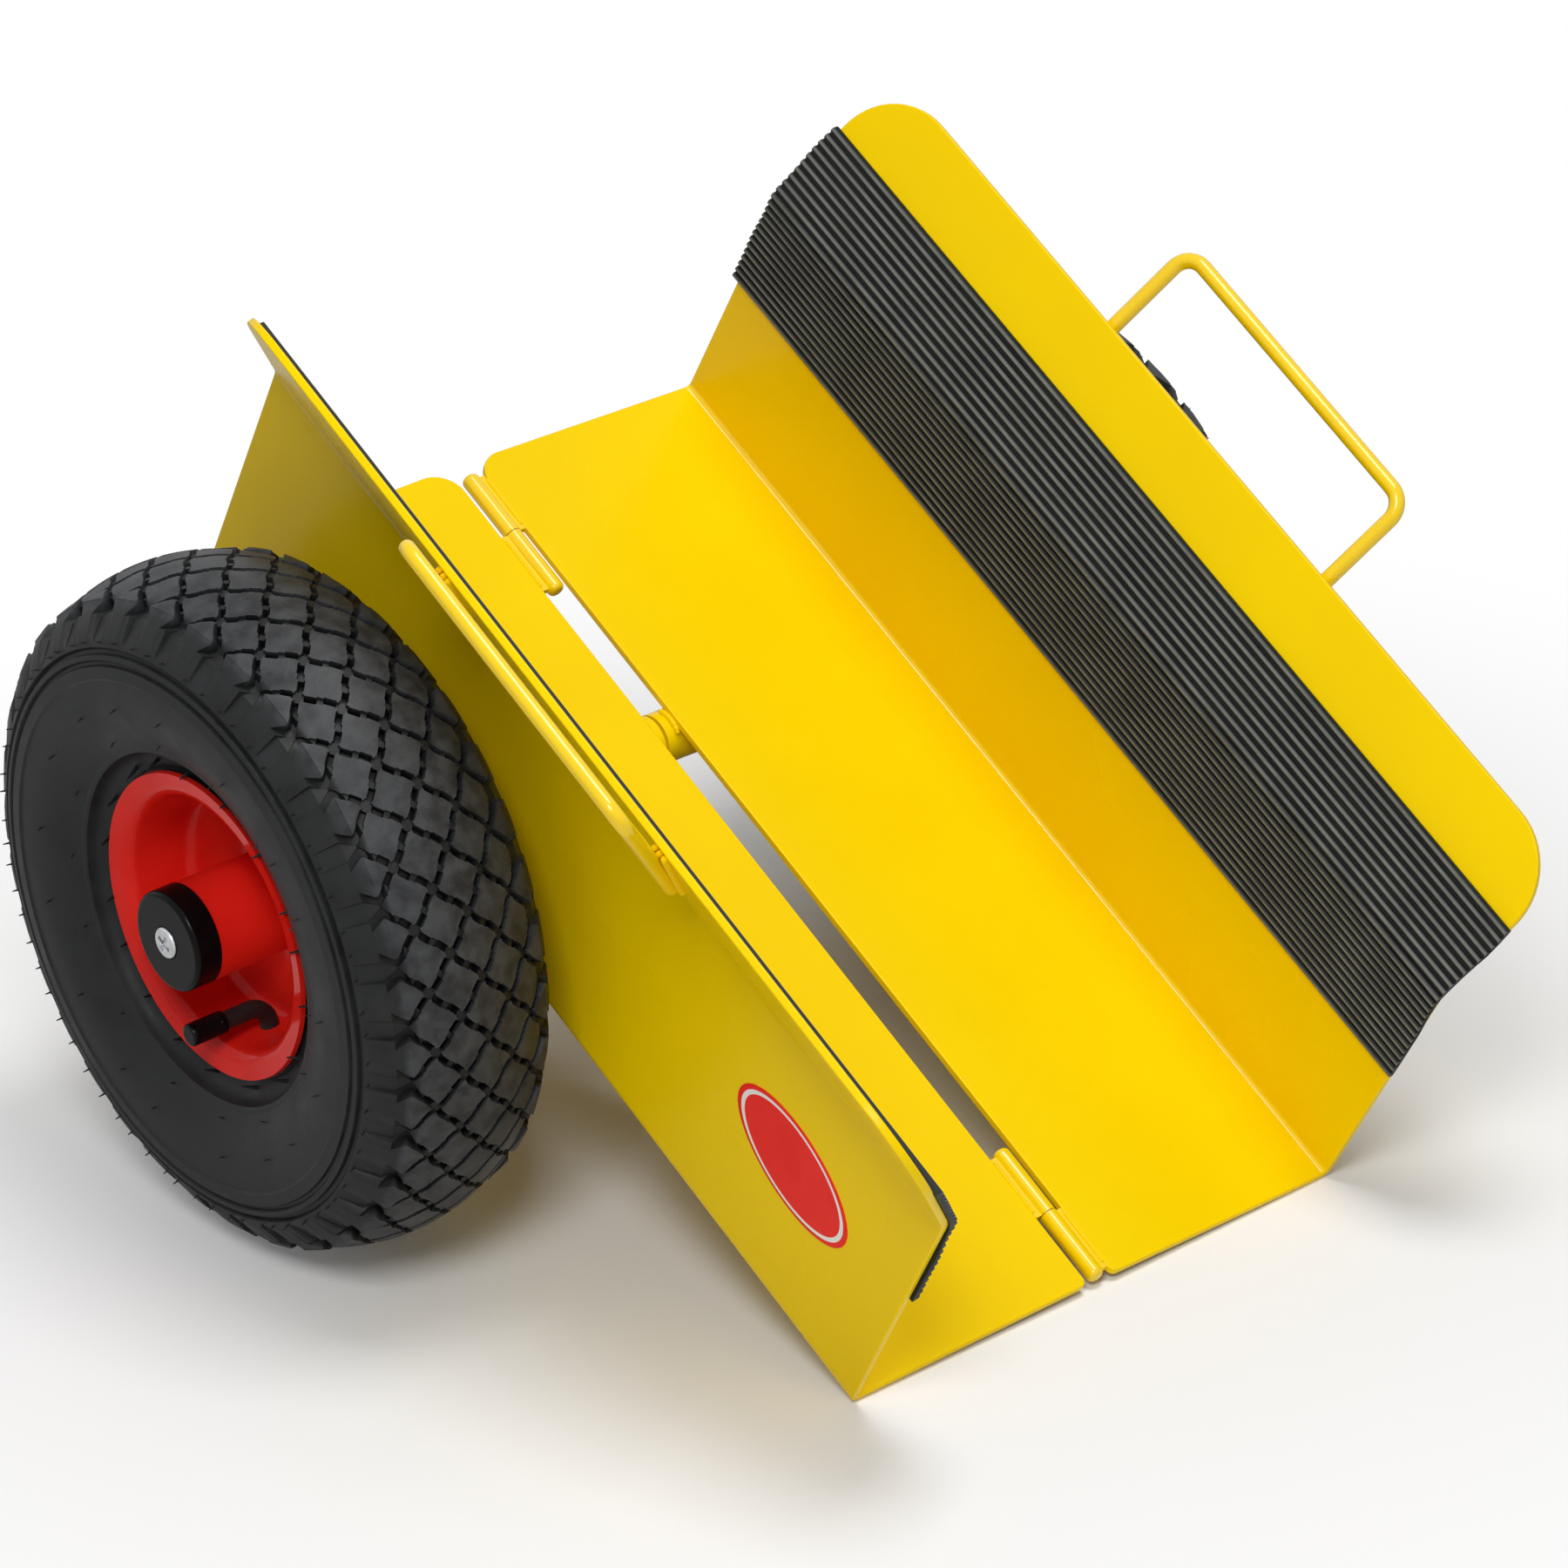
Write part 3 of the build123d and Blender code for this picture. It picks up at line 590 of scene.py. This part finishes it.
def ring_number(at_line, row):
    """Number of a point on the walls or inside, which come after the tread's points."""
    return TURNS * TREAD_WIDTH + (at_line % TURNS) * RING_WIDTH + row


def tyre_faces():
    """Tread cells are squares in p and q, which in line and offset numbers go one on, back and across; the
    last ones at each shoulder are halves. The walls' and the inside's cells are plain ring cells."""
    here, across = np.arange(TURNS)[:, None], np.arange(1 - REACH, REACH)[None, :]
    cells = np.stack(np.broadcast_arrays(
        tread_number(here, across), tread_number(here + 1, across + 1),
        tread_number(here + 1, across), tread_number(here, across - 1)), -1)
    here = here[:, 0]
    outboard = [tread_number(here, REACH), tread_number(here + 1, REACH), tread_number(here, REACH - 1)]
    inboard = [tread_number(here, -REACH), tread_number(here + 1, 1 - REACH), tread_number(here + 1, -REACH)]
    halves = np.concatenate([np.stack(corners, -1) for corners in (outboard, inboard)])
    first, last = tread_number(here, REACH), tread_number(here - REACH, -REACH)
    columns = np.column_stack([first, ring_number(here[:, None], np.arange(RING_WIDTH)), last])
    following = np.roll(columns, -1, axis=0)
    rings = np.stack([columns[:, :-1], columns[:, 1:], following[:, 1:], following[:, :-1]], -1)
    return [cells.reshape(-1, 4), rings.reshape(-1, 4), halves]


print("tyre faces:", sum(len(block) for block in tyre_faces()))

# %% Tyres
# a wall that stands this proud is painted pale as a lit block top, a painted highlight, and one this deep gets the
# slots' painted shade
LIT_TOP_HEIGHT, SHADE_DEPTH = 1.0, 3.15

ring_depth = np.concatenate([wall_depth, np.ones_like(inside_x), wall_depth[:, ::-1]], 1)
lit_block_top = np.concatenate([(tread_depth == 0).ravel(), (ring_depth < -LIT_TOP_HEIGHT).ravel()])
shade_depth = np.concatenate([tread_depth.ravel(), np.where(ring_depth > SHADE_DEPTH, ring_depth, 0).ravel()])
for side in SIDES:
    points = np.concatenate([
        on_wheel(side, tread_x, tread_radius, tread_turn).reshape(-1, 3),
        on_wheel(side, ring_x, ring_radius, ring_turn).reshape(-1, 3),
    ])
    add_piece(f"{side}_treaded_tyre", points, tyre_faces(), f"{side}_wheel", "tyre_rubber", tyre_rubber,
              replaces=(f"{side}_tyre",), sharp=28.0,
              marks={"lit_block_top": lit_block_top, "slot": shade_depth / SLOT_DEPTH})

# %% [markdown]
# ## Grip mats
# The jaws grip with a strip of extruded matting: a thin web with 24 half-round ribs along it, glued over
# the bend between wall and lip. An extrusion is one outline carried along a length, so the outline is
# worked out once, ribs and all, and the strip is that outline at many stations along the hinge.

# %% Mat outline
WALL_FACE, WALL_HEIGHT = 117.0, 109.5
LIP_FLARE, LIP_BEND = math.radians(32.0), 8.0
MAT_BACK, MAT_WEB = 3.05, 1.6
MAT_ON_WALL, MAT_ON_LIP = 47.0, 36.0
RIBS, RIB_RADIUS, RIB_POINTS = 24, 1.3, 9
# above this share of a rib's height, its crest carries the painted highlight
CREST_HIGHLIGHT_START = 0.86
BACK_POINTS = 14

mat_front = MAT_BACK + MAT_WEB
mat_bend = LIP_BEND + mat_front
bend_height = WALL_HEIGHT + mat_front * math.tan(LIP_FLARE / 2)
bend_cut = mat_bend * math.tan(LIP_FLARE / 2)
bend_length = mat_bend * LIP_FLARE
straight_wall, straight_lip = MAT_ON_WALL - bend_cut, MAT_ON_LIP - bend_cut
mat_length = straight_wall + bend_length + straight_lip


def mat_point(distance, height):
    """u and w of a point on the mat: up the wall, round the bend as an arc and up the lip, then out of the
    front face by this height along its normal."""
    turn = np.clip((distance - straight_wall) / mat_bend, 0, LIP_FLARE)
    up_lip = np.clip(distance - straight_wall - bend_length, 0, None)
    u = WALL_FACE - mat_front + mat_bend * (1 - np.cos(turn)) + up_lip * np.sin(turn)
    w = (bend_height - MAT_ON_WALL + np.clip(distance, None, straight_wall)
         + mat_bend * np.sin(turn) + up_lip * np.cos(turn))
    return u - height * np.cos(turn), w + height * np.sin(turn)


rib_middle = (np.arange(RIBS) + 0.5) / RIBS * mat_length
rib_turn = np.linspace(0, np.pi, RIB_POINTS)
rib_distance = rib_middle[:, None] - RIB_RADIUS * np.cos(rib_turn)
rib_height = np.broadcast_to(RIB_RADIUS * np.sin(rib_turn), rib_distance.shape)
back_distance = np.linspace(mat_length, 0, BACK_POINTS)
mat_distance = np.concatenate([[0], rib_distance.ravel(), [mat_length], back_distance])
mat_height = np.concatenate([[0], rib_height.ravel(), [0], np.full_like(back_distance, -MAT_WEB)])
mat_u, mat_w = mat_point(mat_distance, mat_height)
# how much of the painted crest highlight each outline point carries
rib_crest_highlight = np.clip((mat_height / RIB_RADIUS - CREST_HIGHLIGHT_START) / (1 - CREST_HIGHLIGHT_START), 0, 1)
print("mat outline", len(mat_u), "points over", round(mat_length, 1), "mm")

# %% Mats
PLATE_LENGTH = 410.0
MAT_STATIONS, MAT_OVERHANG = 42, 1.2
CUT_WANDER, LONG_WAVE, SHORT_WAVE = 0.5, 9.0, 3.7

mat_reach = PLATE_LENGTH / 2 + MAT_OVERHANG
station = np.linspace(-mat_reach, mat_reach, MAT_STATIONS)[:, None]
wave = np.sin(mat_distance / LONG_WAVE) + 0.5 * np.sin(mat_distance / SHORT_WAVE + 1.0)
knife = CUT_WANDER * wave / 1.5
mat_v = station + np.where(np.abs(station) == mat_reach, knife * np.sign(station), 0.0)
for side in SIDES:
    add_piece(f"{side}_ribbed_mat", on_half(side, mat_u, mat_v, mat_w), closed_faces(*mat_v.shape),
              f"{side}_half", "mat_rubber", mat_rubber, replaces=(f"{side}_grip_mat",), sharp=40.0,
              marks={"rib_crest_highlight": np.broadcast_to(rib_crest_highlight, mat_v.shape)})

# %% [markdown]
# ## Vent hairs
# Air leaves a tyre mould through pin holes, and rubber follows it a little way. The thin hairs and stubs it
# leaves stand in rings: long ones next to the rim, short ones on the wall and at the feet of the lugs.

# %% Hairs
# arc along the outline, how many go round, length out of the wall, lean to the bead, radius at the root,
# and 1 if the inboard face has them too
HAIR_RINGS = np.array([
    (101.0, 18, 4.8, -3.0, 0.9, 1), (86.0, 14, 1.2, 0.3, 0.5, 1),
    (72.0, 17, 1.2, 0.2, 0.5, 1), (46.0, 68, 2.0, 0.2, 0.6, 0),
])
HAIR_ROOT, HAIR_SIDES, HAIR_TAPER = 2.0, 5, 0.67
TURN_WANDER, LENGTH_SHARES = 0.2, (0.7, 1.1)
# the axle's share in the direction that a hair's rings start from, so that no hair runs along it
ASKEW = 0.37
random = np.random.default_rng(7)


def hair_ends(side):
    """Root and tip of every hair, and its radius: hairs stand evenly round each ring, moved a little at
    random, the root under the wall and the tip a random share of the length off it."""
    counts = HAIR_RINGS[:, 1].astype(int)
    rows = np.repeat(HAIR_RINGS, counts, axis=0)
    number = np.concatenate([np.arange(count) for count in counts])
    turn = (number + random.uniform(-TURN_WANDER, TURN_WANDER, len(number))) * 2 * np.pi / rows[:, 1]
    face = np.repeat([1, -1], len(rows))
    rows, turn = np.tile(rows, (2, 1)), np.tile(turn, 2)
    kept = (face > 0) | (rows[:, 5] > 0)
    face, turn = face[kept], turn[kept]
    arc, _, length, lean, radius, _ = rows[kept].T
    length = length * random.uniform(*LENGTH_SHARES, len(length))
    root = on_wheel(side, *tyre_point(face * arc, HAIR_ROOT), turn)
    tip = on_wheel(side, *tyre_point(face * (arc + lean), -length), turn)
    return root, tip, MM * radius


def hairs(side):
    """Tapered pins: three rings of points on each, square to the pin, with the full radius at the root and
    a third of it at the tip."""
    root, tip, radius = hair_ends(side)
    way = (tip - root) / np.linalg.norm(tip - root, axis=1, keepdims=True)
    first = np.cross(way, np.cross(way, along + ASKEW * out[side]))
    first /= np.linalg.norm(first, axis=1, keepdims=True)
    second = np.cross(way, first)
    turn = (np.arange(HAIR_SIDES) * 2 * np.pi / HAIR_SIDES)[:, None]
    circle = (np.cos(turn) * first[:, None] + np.sin(turn) * second[:, None])[:, None]
    share = np.array([0.0, 0.5, 1.0])[None, :, None, None]
    size = radius[:, None, None, None] * (1 - HAIR_TAPER * share)
    points = root[:, None, None] + share * (tip - root)[:, None, None] + size * circle
    start = np.arange(len(root))[:, None, None] * points[0, ..., 0].size
    sides, root_end, tip_end = closed_faces(share.size, HAIR_SIDES)
    ends = np.concatenate([root_end, tip_end])
    return points, [(sides + start).reshape(-1, 4), (ends + start).reshape(-1, HAIR_SIDES)]


for side in SIDES:
    add_piece(f"{side}_vent_hairs", *hairs(side), f"{side}_wheel", "tyre_rubber", valve_rubber, sharp=60.0)

# %% [markdown]
# ## Valve caps
# The valve's dust cap is a small moulded thimble with ridges to grip it by. Its wall is a turned profile
# whose radius dips between the ridges as a cosine of the turn, fading out towards the domed end.

# %% Ridged caps
CAP_START, CAP_RADIUS = 28.0, 4.3
VALVE_RADIUS, VALVE_TURN = 38.0, math.radians(234.0)
RIDGES, RIDGE_DIP, RIDGE_POINTS = 14, 0.35, 6
# along the cap, share of its radius, and share of the ridges' depth
CAP_ROWS = np.array([
    (0.0, 0.86, 0.0), (0.0, 0.97, 0.0), (0.5, 1.0, 0.0), (2.2, 1.0, 0.0), (2.6, 1.0, 1.0),
    (11.4, 1.0, 1.0), (12.2, 1.0, 0.0), (14.2, 0.99, 0.0), (14.8, 0.9, 0.0), (15.0, 0.7, 0.0),
])

up_cap, radius_share, dip_share = CAP_ROWS.T[..., None]
cap_turn = np.arange(RIDGES * RIDGE_POINTS) * 2 * np.pi / (RIDGES * RIDGE_POINTS)
dip = RIDGE_DIP * (0.5 - 0.5 * np.cos(RIDGES * cap_turn))
cap_radius = CAP_RADIUS * radius_share - dip_share * dip
for side in SIDES:
    middle = on_wheel(side, CAP_START + up_cap, VALVE_RADIUS, VALVE_TURN)
    around = np.cos(cap_turn)[:, None] * along + np.sin(cap_turn)[:, None] * up[side]
    add_piece(f"{side}_ridged_valve_cap", middle + MM * cap_radius[..., None] * around,
              closed_faces(*cap_radius.shape), f"{side}_wheel", "black_plastic", black_plastic,
              replaces=(f"{side}_valve_cap",))

# %% [markdown]
# ## Handles
# Each handle is one length of round rod, cold bent into a shallow U with its two feet along the lip. A rod
# is a circle carried along its middle line, so the line is laid out in the plane of the U, leg, bend and
# bar, and the radius closes in as a half sphere at both ends, where the bar was cut and dressed.

# %% Bent rods
ROD_RADIUS, ROD_BEND = 3.0, 8.5
LEG_FOOT, LEG_LENGTH, LEG_TURN = (135.0, 132.45), 75.0, math.radians(35.0)
HANDLE_MIDDLE, HANDLE_SPAN = 6.0, 130.5
DOME_START, LEG_START = 0.12, 8.0
DOME_POINTS, LEG_POINTS, BEND_POINTS, BAR_POINTS, ROD_SIDES = 7, 12, 13, 9, 28

half_span, bend_foot = HANDLE_SPAN / 2, LEG_LENGTH - ROD_BEND
dome_turn = np.linspace(DOME_START, np.pi / 2, DOME_POINTS)
bend_turn = np.linspace(0, np.pi / 2, BEND_POINTS)[1:]
leg = np.concatenate([ROD_RADIUS * (1 - np.cos(dome_turn)), np.linspace(LEG_START, bend_foot, LEG_POINTS)])
bar = np.linspace(half_span - ROD_BEND, 0, BAR_POINTS)[1:]
up_leg = np.concatenate([leg, bend_foot + ROD_BEND * np.sin(bend_turn), np.full_like(bar, LEG_LENGTH)])
out_span = np.concatenate([np.full_like(leg, half_span), half_span - ROD_BEND * (1 - np.cos(bend_turn)), bar])
rod_size = np.full_like(up_leg, ROD_RADIUS)
rod_size[:DOME_POINTS] *= np.sin(dome_turn)

# the second half of the U mirrors the first
up_leg, rod_size = (np.concatenate([half, half[-2::-1]]) for half in (up_leg, rod_size))
out_span = np.concatenate([out_span, -out_span[-2::-1]])
rod_line = np.stack([LEG_FOOT[0] + up_leg * math.sin(LEG_TURN), HANDLE_MIDDLE + out_span,
                     LEG_FOOT[1] + up_leg * math.cos(LEG_TURN)], 1)
rod_across = np.array([math.cos(LEG_TURN), 0, -math.sin(LEG_TURN)])
rod_points, rod_faces = tube(rod_line, rod_across, rod_size, rod_size, ROD_SIDES)
for side in SIDES:
    add_piece(f"{side}_bent_rod", on_half(side, *rod_points.T), rod_faces, f"{side}_half",
              "yellow_powder_coat", rod_coat, replaces=(f"{side}_handle",), sharp=50.0)

# %% [markdown]
# ## Powder pooled in the bends
# In the oven the powder melts and creeps into the inside corner between deck and wall, where it sets as a
# glossy line. It is a narrow hollow strip: an arc a little inside the bend's own arc that fades into the
# plate at both edges, carried along the plate.

# %% Pooled powder
SHEET, DECK_TOP, DECK_BEND = 3.0, 1.5, 2.0
POOL_FILM, POOL_DEPTH, POOL_ROOT, POOL_END = 0.03, 0.12, 0.2, 1.2
POOL_POINTS, POOL_STATIONS = 13, 9

arc_turn = np.linspace(0, np.pi / 2, POOL_POINTS)
pool_front = DECK_BEND - POOL_FILM - POOL_DEPTH * np.sin(2 * arc_turn)
pool_radius = np.concatenate([pool_front, np.full_like(arc_turn, DECK_BEND + POOL_ROOT)])
pool_turn = np.concatenate([arc_turn, arc_turn[::-1]])
pool_u = WALL_FACE - SHEET - DECK_BEND + pool_radius * np.sin(pool_turn)
pool_w = DECK_TOP + DECK_BEND - pool_radius * np.cos(pool_turn)
pool_v = np.linspace(-1, 1, POOL_STATIONS)[:, None] * (PLATE_LENGTH / 2 - POOL_END)
for side in SIDES:
    add_piece(f"{side}_pooled_powder", on_half(side, pool_u, pool_v, pool_w),
              closed_faces(POOL_STATIONS, len(pool_u)), f"{side}_half", "yellow_powder_coat", rod_coat)

# %% [markdown]
# ## Weld beads
# The rods, knuckles and axles are welded on before the powder is baked, so the beads are yellow too. A bead
# is a tube a few millimetres thick along its path, with the ripple of the puddle as it moved on: the radius
# rises and falls a few percent every couple of millimetres and draws in at the ends.

# %% Bead helper
RIPPLE_PITCH, RIPPLE_SHARE, RIPPLE_POINTS = 1.9, 0.09, 6
BEAD_SIDES, BEAD_FLATNESS, BEAD_TIP = 10, 0.85, 0.06
FEWEST_POINTS = 12


def weld(path, across, radius):
    """Tube along a path given in millimetres of u, v and w as an array of rows; the radius ripples as a sine
    of the distance run and closes in over the first and last radius, as a circle does."""
    path = np.asarray(path, float)
    run = np.concatenate([[0], np.cumsum(np.linalg.norm(np.diff(path, axis=0), axis=1))])
    steps = np.linspace(0, run[-1], max(FEWEST_POINTS, int(run[-1] / RIPPLE_PITCH * RIPPLE_POINTS)))
    middle = np.stack([np.interp(steps, run, column) for column in path.T], 1)
    end = np.clip(np.minimum(steps, run[-1] - steps) / radius, 0, 1)
    taper = np.sqrt(BEAD_TIP + (1 - BEAD_TIP) * end * (2 - end))
    size = radius * (1 + RIPPLE_SHARE * np.sin(2 * np.pi * steps / RIPPLE_PITCH)) * taper
    return tube(middle, np.array(across, float), size, BEAD_FLATNESS * size, BEAD_SIDES)


# %% Foot welds
FOOT_ON_LIP, FOOT_WELD = 29.0, 34.5
FOOT_BEAD, BEAD_OFFSET, BEAD_LIFT = 1.5, 2.8, 0.8
TURN_POINTS = 13


def on_lip(v, up_lip):
    """u, v and w of places this far up the lip's outer face, lifted off it to the middle of a bead."""
    u = WALL_FACE + up_lip * math.sin(LIP_FLARE) + BEAD_LIFT * math.cos(LIP_FLARE)
    w = WALL_HEIGHT + up_lip * math.cos(LIP_FLARE) - BEAD_LIFT * math.sin(LIP_FLARE)
    return np.stack([u, v, w], 1)


def foot_weld(foot):
    """A U round the rod's foot on the lip's outer face, down one side, half round the end and up the other,
    and a straight run under the rod that closes the gap at the lip's edge."""
    half_turn = np.linspace(np.pi, 2 * np.pi, TURN_POINTS)
    v = foot + BEAD_OFFSET * np.concatenate([[-1], np.cos(half_turn), [1]])
    up_lip = FOOT_ON_LIP + np.concatenate([[FOOT_WELD], BEAD_OFFSET * np.sin(half_turn), [FOOT_WELD]])
    under = on_lip(np.full(2, foot), FOOT_ON_LIP + FOOT_WELD * np.array([0.5, 1.0]))
    lip_normal = (math.cos(LIP_FLARE), 0, -math.sin(LIP_FLARE))
    return join([weld(path, lip_normal, FOOT_BEAD) for path in (on_lip(v, up_lip), under)])


# %% Axle and knuckle welds
AXLE_PLACE, AXLE_HEIGHT, AXLE_RADIUS = 71.0, -11.6, 10.0
DECK_EDGE, EDGE_INSET, EDGE_LIFT = 5.9, 0.4, 0.3
EDGE_BEAD, EDGE_HALF = 1.4, 6.0
STITCH_BEAD, STITCH_STARTS, STITCH_LENGTH = 1.7, (16.0, 50.0, 84.0), 20.0
STITCH_ASIDE, STITCH_HEIGHT = 6.0, -2.6
KNUCKLE_STARTS = {"right": (169.0, -202.0), "left": (140.6, -173.6)}
KNUCKLE_WEB, KNUCKLE_BEAD, KNUCKLE_MARGIN, KNUCKLE_ASIDE = 28.0, 0.8, 2.0, 1.2
UPRIGHT = (0, 0, 1)

bead_u = DECK_EDGE - EDGE_INSET


def axle_edge_weld():
    """Along the deck's hinge edge where the axle passes under it, following the round of the bar."""
    v = np.linspace(-EDGE_HALF, EDGE_HALF, TURN_POINTS)
    w = AXLE_HEIGHT + np.sqrt(AXLE_RADIUS**2 - v**2) + EDGE_LIFT
    return weld(np.stack([np.full_like(v, bead_u), AXLE_PLACE + v, w], 1), UPRIGHT, EDGE_BEAD)


def axle_stitches():
    """Three stitches on each side of the axle under the deck, in the corner between bar and plate."""
    for start in STITCH_STARTS:
        for v in (AXLE_PLACE - STITCH_ASIDE, AXLE_PLACE + STITCH_ASIDE):
            path = [(start, v, STITCH_HEIGHT), (start + STITCH_LENGTH, v, STITCH_HEIGHT)]
            yield weld(path, UPRIGHT, STITCH_BEAD)


def knuckle_welds(starts):
    """A bead on top of and under the web of each knuckle, along the deck's hinge edge."""
    for start in starts:
        first, last = start + KNUCKLE_MARGIN, start + KNUCKLE_WEB - KNUCKLE_MARGIN
        for w in (KNUCKLE_ASIDE, -KNUCKLE_ASIDE):
            yield weld([(bead_u, first, w), (bead_u, last, w)], UPRIGHT, KNUCKLE_BEAD)


# %% Beads on each half
feet = (HANDLE_MIDDLE - half_span, HANDLE_MIDDLE + half_span)
for side in SIDES:
    points, blocks = join([*(foot_weld(foot) for foot in feet), axle_edge_weld(), *axle_stitches(),
                           *knuckle_welds(KNUCKLE_STARTS[side])])
    add_piece(f"{side}_weld_beads", on_half(side, *points.T), blocks, f"{side}_half",
              "yellow_powder_coat", powder_coat, sharp=50.0)

# %% [markdown]
# ## Label
# A plain oval label is stuck on the left wall's outer face near its low corner, a thin film of vinyl. It is
# a set of ellipses inside each other, and each point carries its share of the way out for the print.

# %% Oval label
LABEL_MIDDLE, LABEL_HALF = (-140.6, 61.6), (33.5, 17.5)
LABEL_TURN = math.atan2(9.0, 65.0)
LABEL_FILM, LABEL_GLUE, LABEL_POINTS = 0.3, 0.02, 96
# share of the way out and share of the film's thickness
LABEL_ROWS = np.array([
    (0.25, 1.0), (0.5, 1.0), (0.75, 1.0), (0.86, 1.0), (0.88, 1.0),
    (0.92, 1.0), (0.94, 1.0), (0.995, 1.0), (1.0, 0.8), (1.0, 0.0),
])

way_out, film_share = LABEL_ROWS.T[..., None]
label_turn = np.arange(LABEL_POINTS) * 2 * np.pi / LABEL_POINTS
long_way = LABEL_HALF[0] * way_out * np.cos(label_turn)
short_way = LABEL_HALF[1] * way_out * np.sin(label_turn)
label_u = WALL_FACE + film_share * LABEL_FILM + LABEL_GLUE
label_v = LABEL_MIDDLE[0] + long_way * math.cos(LABEL_TURN) - short_way * math.sin(LABEL_TURN)
label_w = LABEL_MIDDLE[1] + long_way * math.sin(LABEL_TURN) + short_way * math.cos(LABEL_TURN)
add_piece("left_oval_label", on_half("left", label_u, label_v, label_w), closed_faces(*label_v.shape),
          "left_half", None, label_vinyl, marks={"oval_share": np.broadcast_to(way_out, label_v.shape)})

# %% [markdown]
# ## Backdrop and light
# The picture is a cut-out on white. A floor that fades to white away from the dolly keeps the soft shadow
# under it, and the world is white to the camera and in reflections. One soft box overhead and one at the
# front left light the object at a plain level.

# %% Floor
FADE_START, FADE_END = 0.1, 0.6
FLOOR_HALF = 6.0

corners = [(x * FLOOR_HALF, y * FLOOR_HALF, 0) for x, y in ((-1, -1), (1, -1), (1, 1), (-1, 1))]
floor_mesh = bpy.data.meshes.new("floor")
floor_mesh.from_pydata(corners, [], [(0, 1, 2, 3)])
floor = bpy.data.objects.new("floor", floor_mesh)
bpy.context.scene.collection.objects.link(floor)

pale_floor, tree, shader, coordinates = new_finish(
    "pale_studio_floor", Roughness=0.9, Base_Color=linear("#F4F4F4"))
distance = add_node(tree, "ShaderNodeVectorMath", {0: coordinates}, operation="LENGTH").outputs["Value"]
fade = add_node(tree, "ShaderNodeMapRange", {"Value": distance},
                {"From Min": FADE_START, "From Max": FADE_END}, interpolation_type="SMOOTHSTEP")
camera_ray = add_node(tree, "ShaderNodeLightPath").outputs["Is Camera Ray"]
white_share = add_node(tree, "ShaderNodeMath", {0: fade.outputs["Result"], 1: camera_ray},
                       operation="MULTIPLY")
white = add_node(tree, "ShaderNodeEmission")
blend = add_node(tree, "ShaderNodeMixShader",
                 {0: white_share.outputs[0], 1: shader.outputs[0], 2: white.outputs[0]})
tree.links.new(blend.outputs[0], tree.nodes["Material Output"].inputs["Surface"])
floor_mesh.materials.append(pale_floor)
print("floor", 2 * FLOOR_HALF, "m wide")

# %% World
WORLD_LIGHT = 0.16

world = bpy.data.worlds.new("white_studio")
world.use_nodes = True
bpy.context.scene.world = world
tree = world.node_tree
ray = add_node(tree, "ShaderNodeLightPath").outputs
mirrored = add_node(tree, "ShaderNodeMath", {0: ray["Is Camera Ray"], 1: ray["Is Glossy Ray"]},
                    operation="MAXIMUM")
seen = add_node(tree, "ShaderNodeMath", {0: mirrored.outputs[0], 1: ray["Is Transmission Ray"]},
                operation="MAXIMUM")
level = add_node(tree, "ShaderNodeMapRange", {"Value": seen.outputs[0]},
                 {"To Min": WORLD_LIGHT, "To Max": 1.0})
background = tree.nodes["Background"]
background.inputs["Color"].default_value = (1, 1, 1, 1)
tree.links.new(level.outputs["Result"], background.inputs["Strength"])
print("world light", WORLD_LIGHT)

# %% Soft boxes
LAMP_TARGET = Vector((0.0, 0.0, 0.15))


def soft_box(name, place, size, watts):
    """A square area lamp at a place, turned to look at the dolly."""
    data = bpy.data.lights.new(name, "AREA")
    data.size, data.energy = size, watts
    lamp = bpy.data.objects.new(name, data)
    bpy.context.scene.collection.objects.link(lamp)
    lamp.location = place
    lamp.rotation_euler = (LAMP_TARGET - Vector(place)).to_track_quat("-Z", "Y").to_euler()
    print(f"{name}: {size} m wide, {watts} W")


soft_box("left_box", place=(-1.2, -1.15, 1.75), size=0.7, watts=24.0)
soft_box("overhead_box", place=(0.15, -0.35, 2.2), size=0.8, watts=23.5)
bpy.context.scene.view_settings.view_transform = "Standard"
